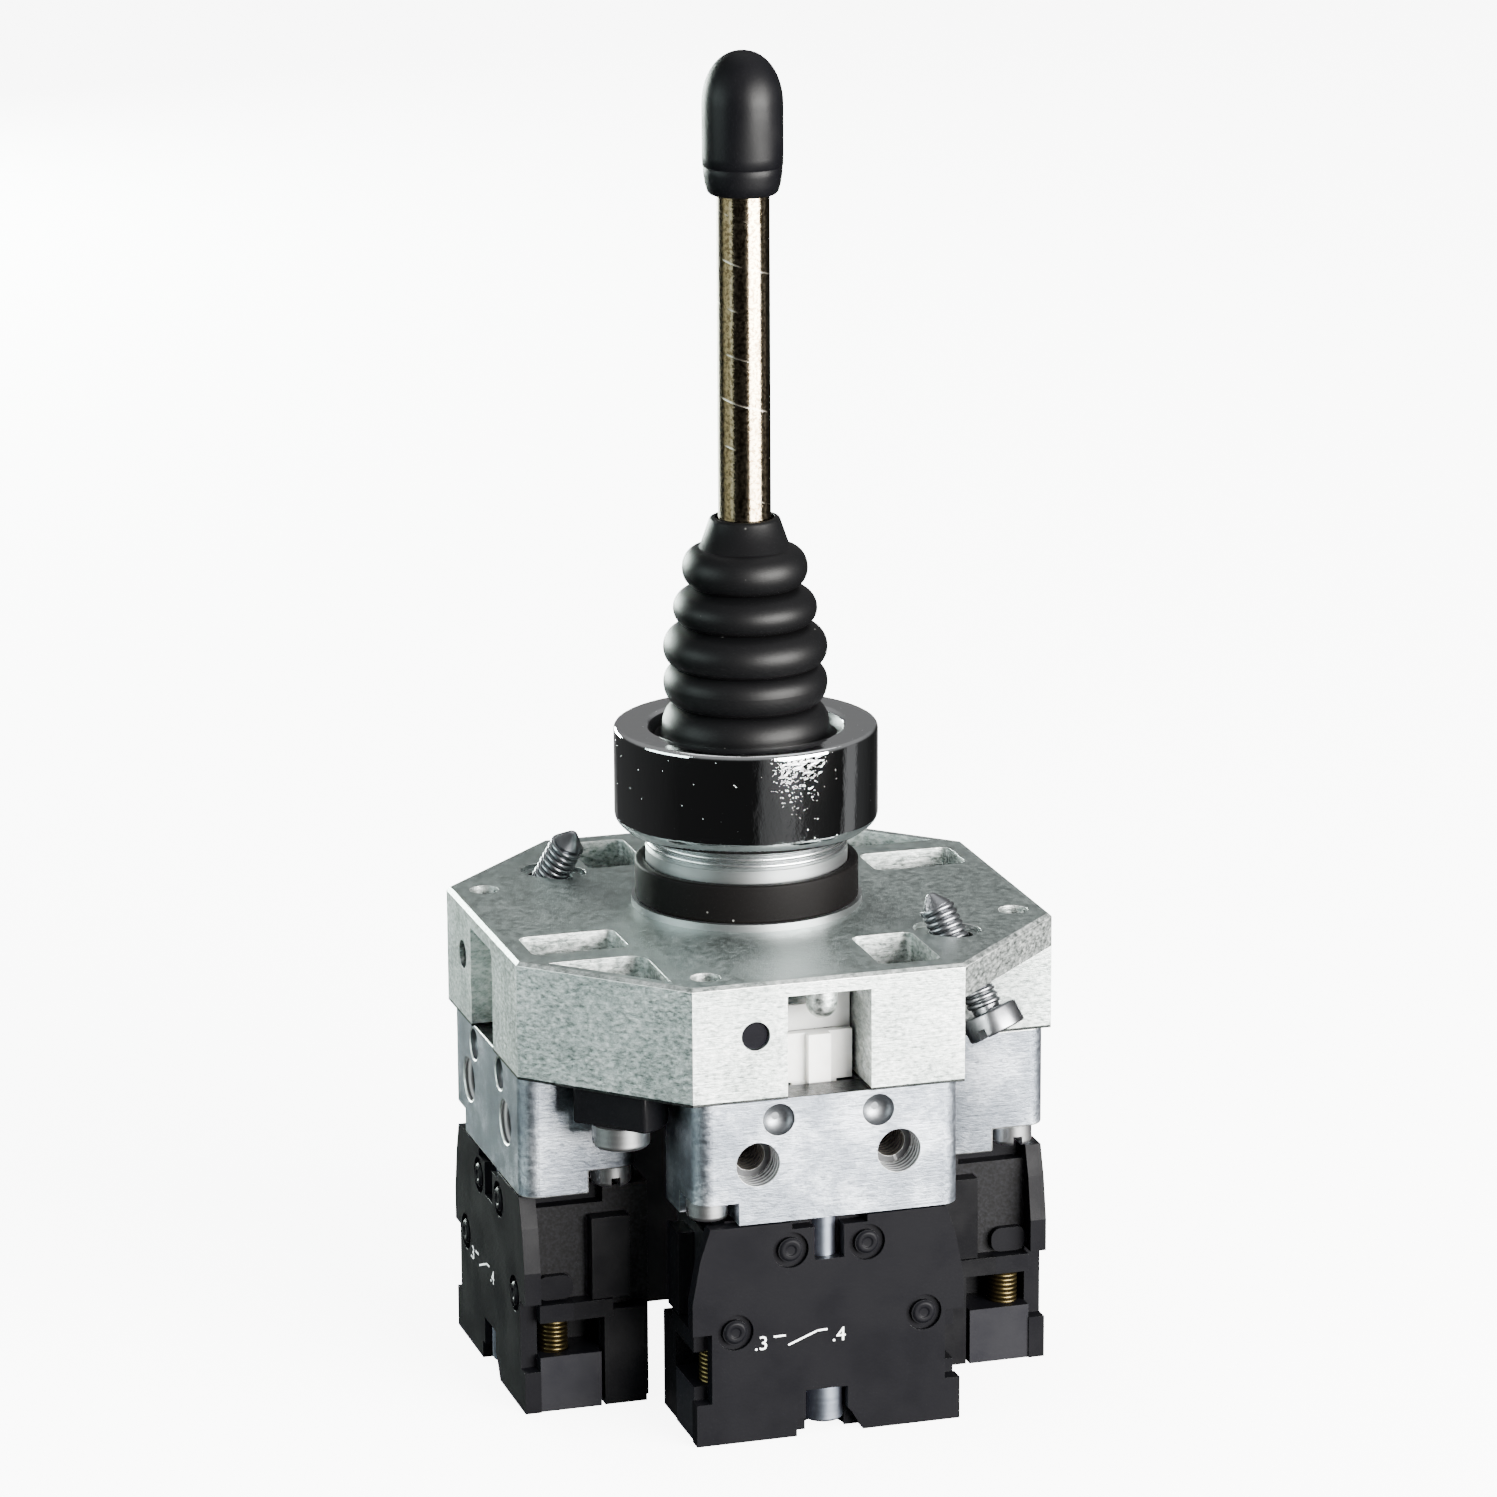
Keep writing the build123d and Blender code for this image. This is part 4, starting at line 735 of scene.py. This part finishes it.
# Softened castings and mouldings
print("castings and mouldings")
edges = {"plate": 0.22 * mm, "cover": 0.2 * mm}
plateMesh = softenedNode("mounting_plate", edges["plate"], ["die-cast zinc", "worn zinc edge"])
newPiece("mountingPlate", plateMesh, "base", ["mounting_plate"])
coverMesh = softenedNode("bottom_cover", edges["cover"], ["black moulding"] * 2)
newPiece("bottomCover", coverMesh, "base", ["bottom_cover"])
endWall = {"core": 12.6 * mm, "coreSlack": 0.3 * mm, "foot": 14.5 * mm, "footSlack": 0.05 * mm,
           "footTop": 6.2 * mm}


def alongSide(point, turn):
    # How far a point lies along its side, from the side's middle
    return point.x * cos(radians(turn)) + point.y * sin(radians(turn))


def endWallPicker(turn):
    # On a block's ends, the core's walls have a coarse spark-eroded grain and the foot is plain grey
    def pick(face):
        middle = face.calc_center_median()
        reach = abs(alongSide(middle, turn))
        if abs(alongSide(face.normal, turn)) < 0.9:
            return 0
        if abs(reach - endWall["core"]) < endWall["coreSlack"]:
            return 2
        plain = abs(reach - endWall["foot"]) < endWall["footSlack"] and middle.z < endWall["footTop"]
        return 3 if plain else 0
    return pick


bores = {"x": 7.8, "level": -20.1, "radius": 2.45, "innerRadius": 1.75, "innerDepth": 3.1, "depth": 12,
         "skin": 0.1, "dimpleX": 5.5, "dimpleLevel": -15.35, "dimpleRadius": 1.8, "dimpleDepth": 2}


def borePicker(turn):
    # The walls of the two tapped holes in a carrier, their ends deep inside painted darker as shade, and the
    # drill marks
    def pick(face):
        middle = face.calc_center_median()
        outward = middle.x * sin(radians(turn)) - middle.y * cos(radians(turn))
        depth = faceReach - outward / mm

        def distance(x, level):
            rise = (middle.z - plateTop) / mm - level
            return min(Vector((alongSide(middle, turn) / mm - end * x, rise)).length for end in (-1, 1))

        off = distance(bores["x"], bores["level"])
        aside = distance(bores["dimpleX"], bores["dimpleLevel"])
        if aside < bores["dimpleRadius"] and bores["skin"] < depth < bores["dimpleDepth"]:
            return 4
        if off > bores["radius"] or not bores["skin"] <= depth <= bores["depth"]:
            return 0
        return 3 if off < bores["innerRadius"] and depth > bores["innerDepth"] else 2
    return pick


# Per side. Each look names the node and its piece, the rounding, the finish whose slot the piece takes, and
# its finishes by number; some also name the body that it rides, or what picks the number for each face
sidePieces = (
    {"node": "carrier", "piece": "carrier", "edge": 0.25, "slot": "bright zinc casting", "picker": borePicker,
     "finishes": ["bright zinc casting", "worn zinc edge", "tapped bore", "deep bore", "drilled dimple"]},
    {"node": "block_outer_shell", "piece": "outerShell", "edge": 0.14, "slot": "charcoal moulding",
     "picker": endWallPicker,
     "finishes": ["charcoal moulding", "rubbed moulding", "grained grey moulding", "smooth grey moulding"]},
    {"node": "block_inner_shell", "piece": "innerShell", "edge": 0.16, "slot": "charcoal moulding",
     "picker": endWallPicker,
     "finishes": ["black moulding", "black moulding", "grained grey moulding", "black moulding"]},
    {"node": "pusher", "piece": "pusher", "edge": 0.15, "slot": "white acetal", "body": "contact_slide",
     "finishes": ["white acetal"] * 2},
    {"node": "pusher_guide", "piece": "pusherGuide", "edge": 0.12, "slot": "white acetal",
     "finishes": ["white acetal"] * 2},
)
for side, turn in sideTurns.items():
    for look in sidePieces:
        node = f"{look['node']}_{side}"
        pick = look["picker"](turn) if "picker" in look else None
        mesh = softenedNode(node, look["edge"] * mm, look["finishes"], pick)
        body = f"{look['body']}_{side}" if "body" in look else "base"
        newPiece(look["piece"] + side.title(), mesh, body, [node])

# Drill marks in the carriers and rivet heads in the blocks' outer faces
print("dimples and rivets")
dimple = {"radius": 1.72, "rim": -0.12, "depth": 1.3, "back": -1.38, "steps": 10}
cupOuter = [(dimple["radius"] * sin(step / dimple["steps"] * pi / 2),
             dimple["rim"] - dimple["depth"] * cos(step / dimple["steps"] * pi / 2))
            for step in range(dimple["steps"] + 1)]
cupOuter += [(dimple["radius"], dimple["back"]), (0, dimple["back"])]
cupMesh = turned("drillMark", millimetres(cupOuter), "drilled dimple", 40, 50)
topRivet = blockTop / mm - 3.3
rivet = {"edge": 0.1, "spots": ((-4.25, topRivet), (4.25, topRivet), (10.6, 12.5), (-10.4, 12.5)),
         "outline": ((0, 0.06), (0.5, 0.06), (0.62, 0.18), (1.0, 0.2), (1.22, 0.06), (1.36, -0.2),
                     (1.36, -0.45), (0, -0.45))}
rivetOutline = rounded(millimetres(rivet["outline"]), rivet["edge"] * mm)
rivetMesh = turned("rivetHead", rivetOutline, "charcoal moulding", 40, 50)


def onFace(x, height, turn, face=faceReach):
    # Stands a piece drawn round Z on a side's outer face
    stand = Matrix.Translation((x * mm, -face * mm, height)) @ Matrix.Rotation(radians(90), 4, "X")
    return turnedAbout(turn, stand)


cups = [(cupMesh, onFace(end * bores["dimpleX"], plateTop + bores["dimpleLevel"] * mm, turn))
        for turn in sideTurns.values() for end in (-1, 1)]
heads = [(rivetMesh, onFace(x, height * mm, turn))
         for turn in sideTurns.values() for x, height in rivet["spots"]]
newPiece("drillMarks", joined("drillMarks", cups, 50), "base")
newPiece("rivetHeads", joined("rivetHeads", heads, 50), "base")

# Clamp screws with cut threads
print("screws")
clampScrew = {"tilt": 30.0, "reach": 24.4, "rises": (3.7, 4.9), "radius": 1.95, "pitch": 0.7, "tip": 1.9,
              "length": 14.0, "head": 3.2, "headHeight": 2.6, "slotWidth": 1.0, "slotDepth": 1.1}
screwTip = {"blunt": ((0, 0), (0.3, -0.06), (0.55, -0.24)), "flare": 0.12, "flareAt": 0.86}
screwThread = {"start": 0.15, "end": 0.4, "steps": 32}
headEdge = 0.3


def slotted(mesh, look, bottom):
    # Cuts a screwdriver slot across the bottom of a head
    cutter = bpy.data.meshes.new("slotCutter")
    work = bmesh.new()
    bmesh.ops.create_cube(work, size=1, matrix=Matrix.Translation((0, 0, bottom)) @ Matrix.Diagonal(
        (2.4 * look["head"] * mm, look["slotWidth"] * mm, 2 * look["slotDepth"] * mm, 1)))
    work.to_mesh(cutter)
    work.free()
    cutter.materials.append(mesh.materials[0])
    tool = addObject("slotCutter", cutter)
    target = addObject("slotted", mesh)
    cut = target.modifiers.new("slot", "BOOLEAN")
    cut.operation = "DIFFERENCE"
    cut.object = tool
    cut.solver = "EXACT"
    result = bakeObject(target)
    bpy.data.objects.remove(tool)
    smoothMesh(result)
    return result


def headedScrew(look, finishName, steps=48):
    # Tip at the origin, head below it
    core = look["radius"] - threadDepth * look["pitch"]
    headLow = -look["length"] - look["headHeight"]
    outline = [*screwTip["blunt"], (core + screwTip["flare"], -screwTip["flareAt"] * look["tip"]),
               (core, -look["tip"]), (core, -look["length"])]
    outline += rounded([(core, -look["length"]), (look["head"], -look["length"]), (look["head"], headLow),
                        (0, headLow)], headEdge)[1:]
    body = slotted(turned("screwCore", millimetres(outline), finishName, steps), look, headLow * mm)
    run = (look["length"] - look["tip"] - screwThread["end"]) * mm
    ridge = thread(look["radius"] * mm, look["pitch"] * mm, run, finishName, screwThread["steps"])
    ridgeLow = (screwThread["start"] - look["tip"]) * mm - run
    return joined("screw", [(body, Matrix()), (ridge, Matrix.Translation((0, 0, ridgeLow)))])


clampMesh = headedScrew(clampScrew, "dark screw steel")
places = []
for corner, rise in zip((1, -1), clampScrew["rises"]):
    tilt = radians(clampScrew["tilt"])
    reach = (clampScrew["reach"] - rise * tan(tilt)) * mm
    outward = Vector((corner, -corner, 0)).normalized()
    axis = outward * -sin(tilt) + Vector((0, 0, cos(tilt)))
    across = axis.cross(outward).normalized()
    place = Matrix((across, axis.cross(across), axis)).transposed().to_4x4()
    place.translation = outward * reach + Vector((0, 0, plateTop + rise * mm))
    places.append((clampMesh, place))
newPiece("clampScrews", joined("clampScrews", places, 60), "base", ["clamp_screws"])

# Terminal screws, whose brass thread is seen in each wire window
terminal = {"x": 11.6, "reach": 25.7, "top": 11.4, "radius": 1.7, "pitch": 0.5, "tip": 0.4, "length": 8.0,
            "head": 2.3, "headHeight": 2.4, "slotWidth": 0.9, "slotDepth": 0.9}
terminalMesh = headedScrew(terminal, "bare brass", 32)
places = [(terminalMesh, turnedAbout(turn, Matrix.Translation(
    (end * terminal["x"] * mm, -terminal["reach"] * mm, terminal["top"] * mm))))
    for turn in sideTurns.values() for end in (-1, 1)]
newPiece("terminalScrews", joined("terminalScrews", places, 60), "base", ["terminal_screws"])

# CAD pieces whose shape stays, given their real finish
innerSteel = ("gimbal_pins", "gimbal_ring", "gimbal_axle", "actuator_cross", "cross_nut")
kept = dict.fromkeys(innerSteel, "zinc-plated steel")
kept.update({"cover_screws": "bright screw plate", "carrier_screws": "bright screw plate",
             "fixing_screws": "blue zinc plate", "guide_pins": "blackened steel"})
keptPerSide = {"fixed_contacts": "bare brass", "contact_bridge": "bare brass", "plunger": "black moulding",
               "plunger_spring": "spring steel"}
kept.update({f"{name}_{side}": finishName for side in sideTurns for name, finishName in keptPerSide.items()})
for name, finishName in kept.items():
    nodes[name].data.materials.clear()
    nodes[name].data.materials.append(finish[finishName])

# Printed marks: contact numbers and the closing-contact symbol, drawn flat as seen from outside the face
print("printed marks")
marks = {"size": 2.2, "thickness": 0.03, "width": 0.2,
         "numbers": ((".3", -8.35, 10.25), (".4", 0.3, 10.35)),
         "strokes": (((-6.1, 11.6), (-4.9, 11.6)), ((-4.5, 10.5), (-1.3, 11.75), (-0.25, 11.8)))}


def textMesh(text):
    curve = bpy.data.curves.new(text, "FONT")
    curve.body = text
    curve.size = marks["size"] * mm
    curve.extrude = marks["thickness"] * mm / 2
    mesh = bakeObject(addObject(text, curve))
    mesh.materials.clear()
    mesh.materials.append(finish["white print"])
    return mesh


def stroke(points, width):
    # A printed line of even width through points on the face
    mesh = bpy.data.meshes.new("stroke")
    work = bmesh.new()
    for a, b in zip(points, points[1:]):
        a, b = Vector((*a, 0)), Vector((*b, 0))
        turn = atan2(b.y - a.y, b.x - a.x)
        place = Matrix.Translation((a + b) / 2) @ Matrix.Rotation(turn, 4, "Z") @ \
            Matrix.Diagonal(((b - a).length + width * 0.5, width, marks["thickness"], 1))
        bmesh.ops.create_cube(work, size=1, matrix=place)
    bmesh.ops.scale(work, vec=(mm, mm, mm), verts=work.verts)
    work.to_mesh(mesh)
    work.free()
    mesh.materials.append(finish["white print"])
    return mesh


faceMarks = [(textMesh(text), Matrix.Translation((x * mm, z * mm, 0))) for text, x, z in marks["numbers"]]
faceMarks += [(stroke(points, marks["width"]), Matrix()) for points in marks["strokes"]]
markFace = faceReach + marks["thickness"] / 2
printed = [(mesh, onFace(0, 0, turn, markFace) @ place)
           for turn in sideTurns.values() for mesh, place in faceMarks]
newPiece("printedMarks", joined("printedMarks", printed), "base")

# Floor, lights and camera
print("stage")
paper = {"size": 4, "colour": "#fafafa", "glow": 7.0}
floorMesh = bpy.data.meshes.new("floor")
corners = [(x * paper["size"], y * paper["size"], 0) for x, y in ((-1, -1), (1, -1), (1, 1), (-1, 1))]
floorMesh.from_pydata(corners, [], [(0, 1, 2, 3)])
floor = addObject("floor", floorMesh)
paperMaterial, paperTree, paperShader = newMaterial("studio paper", {
    "Roughness": 0.9, "Specular IOR Level": 0.2, "Base Color": linearColour(paper["colour"]),
    "Emission Color": linearColour("#ffffff")})[:3]
# Only the eye sees the paper glow, so that it doesn't light the object
eye = addNode(paperTree, "ShaderNodeLightPath")
glow = maths(paperTree, "MULTIPLY", (eye, "Is Camera Ray"), paper["glow"])
feed(paperTree, paperShader, {"Emission Strength": glow})
floorMesh.materials.append(paperMaterial)
floor.visible_glossy = False

# Soft boxes: bearing in degrees to the right of the camera's side, height and distance in metres
studio = {
    "key": {"bearing": 50, "distance": 0.85, "height": 0.2, "size": (0.8, 0.4), "power": 66,
            "colour": "#fffdf9"},
    "left": {"bearing": -72, "distance": 0.85, "height": 0.22, "size": (0.7, 0.35), "power": 8,
             "colour": "#e6faf7"},
    "rearLeft": {"bearing": -148, "distance": 0.85, "height": 0.12, "size": (0.35, 0.24), "power": 20,
                 "colour": "#ecfaf2"},
    "top": {"bearing": 160, "distance": 0.3, "height": 0.95, "size": (0.9, 0.7), "power": 3,
            "colour": "#ffffff"},
}
cameraBearing = -16.8
target = Vector((0, 0, 0.06))
for name, look in studio.items():
    light = bpy.data.lights.new(name, "AREA")
    light.shape = "RECTANGLE"
    light.size, light.size_y = look["size"]
    light.energy = look["power"]
    light.color = linearColour(look["colour"])[:3]
    lamp = addObject(name, light)
    turn = radians(look["bearing"] + cameraBearing)
    lamp.location = (look["distance"] * sin(turn), -look["distance"] * cos(turn), look["height"])
    lamp.rotation_euler = (target - lamp.location).to_track_quat("-Z", "Y").to_euler()
    lamp.visible_camera = False
# An even wash that whitens the paper and stays out of reflections; angles in degrees
wash = {"strength": 2.6, "angle": 60, "tilt": (12, -8)}
daylight = bpy.data.lights.new("ceiling", "SUN")
daylight.energy = wash["strength"]
daylight.angle = radians(wash["angle"])
ceiling = addObject("ceiling", daylight)
ceiling.rotation_euler = (*[radians(angle) for angle in wash["tilt"]], 0)
ceiling.visible_glossy = False

# The room, by the bearing from the camera's side: white paper behind the object, black cloth round the
# camera, and a narrow pale gap in it to the right, so that plated parts keep their contrast
room = {"front": (-0.288, -0.958, 0), "right": (0.958, -0.288, 0), "sky": 0.35, "skyFrom": -0.08,
        "skyFull": 0.6, "backdrop": 6.0,
        "bearings": ((-180, 0.22), (-160, 0.22), (-152, 0.05), (-60, 0.012), (8, 0.01), (16, 0.09), (42, 0.14),
                     (50, 0.035), (64, 0.025), (92, 0.012), (97, 0.2), (108, 0.2), (113, 0.05), (140, 0.02),
                     (156, 0.03), (164, 0.22), (180, 0.22))}
world = bpy.data.worlds.new("studio")
bpy.context.scene.world = world
world.use_nodes = True
sky = world.node_tree
direction = addNode(sky, "ShaderNodeTexCoord")
ahead, aside = [facing(sky, (direction, "Generated"), room[way]) for way in ("front", "right")]
share = maths(sky, "MULTIPLY_ADD", maths(sky, "ARCTAN2", aside, ahead), 0.5 / pi, 0.5)
walls = ramped(sky, share, [(degrees / 360 + 0.5, level) for degrees, level in room["bearings"]])
height = split(sky, (direction, "Generated"))
above = ranged(sky, (height, "Z"), room["skyFrom"], room["skyFull"], 0, room["sky"])
above[0].interpolation_type = "SMOOTHSTEP"
rays = addNode(sky, "ShaderNodeLightPath")
seen = mixed(sky, (rays, "Is Camera Ray"), maths(sky, "MAXIMUM", walls, above), (room["backdrop"],) * 3 + (1,))
feed(sky, sky.nodes["Background"], {"Color": seen})

view = {"focal": 147.98, "place": (-185.9, -617.4, 189.9), "azimuth": -0.2925, "elevation": 0.2864,
        "yaw": 0.0004, "pitch": 0.0245, "roll": -0.0052, "sensor": 36, "near": 0.01}
camera = bpy.data.cameras.new("photoCamera")
camera.lens = view["focal"]
camera.sensor_width = view["sensor"]
camera.sensor_fit = "HORIZONTAL"
camera.clip_start = view["near"]
back = Vector((sin(view["azimuth"]) * cos(view["elevation"]), -cos(view["azimuth"]) * cos(view["elevation"]),
               sin(view["elevation"])))
right = Vector((cos(view["azimuth"]), sin(view["azimuth"]), 0))
up = back.cross(right)
forward = (-back + right * tan(view["yaw"]) + up * tan(view["pitch"])).normalized()
sideways = forward.cross(Vector((0, 0, 1))).normalized()
upright = sideways.cross(forward)
rolledSide = sideways * cos(view["roll"]) + upright * sin(view["roll"])
rolledUp = upright * cos(view["roll"]) - sideways * sin(view["roll"])
cameraObject = addObject("photoCamera", camera)
cameraObject.matrix_world = Matrix((rolledSide, rolledUp, -forward)).transposed().to_4x4()
cameraObject.location = Vector(view["place"]) * mm + Vector((0, 0, plateTop))
bpy.context.scene.camera = cameraObject

print("finished")
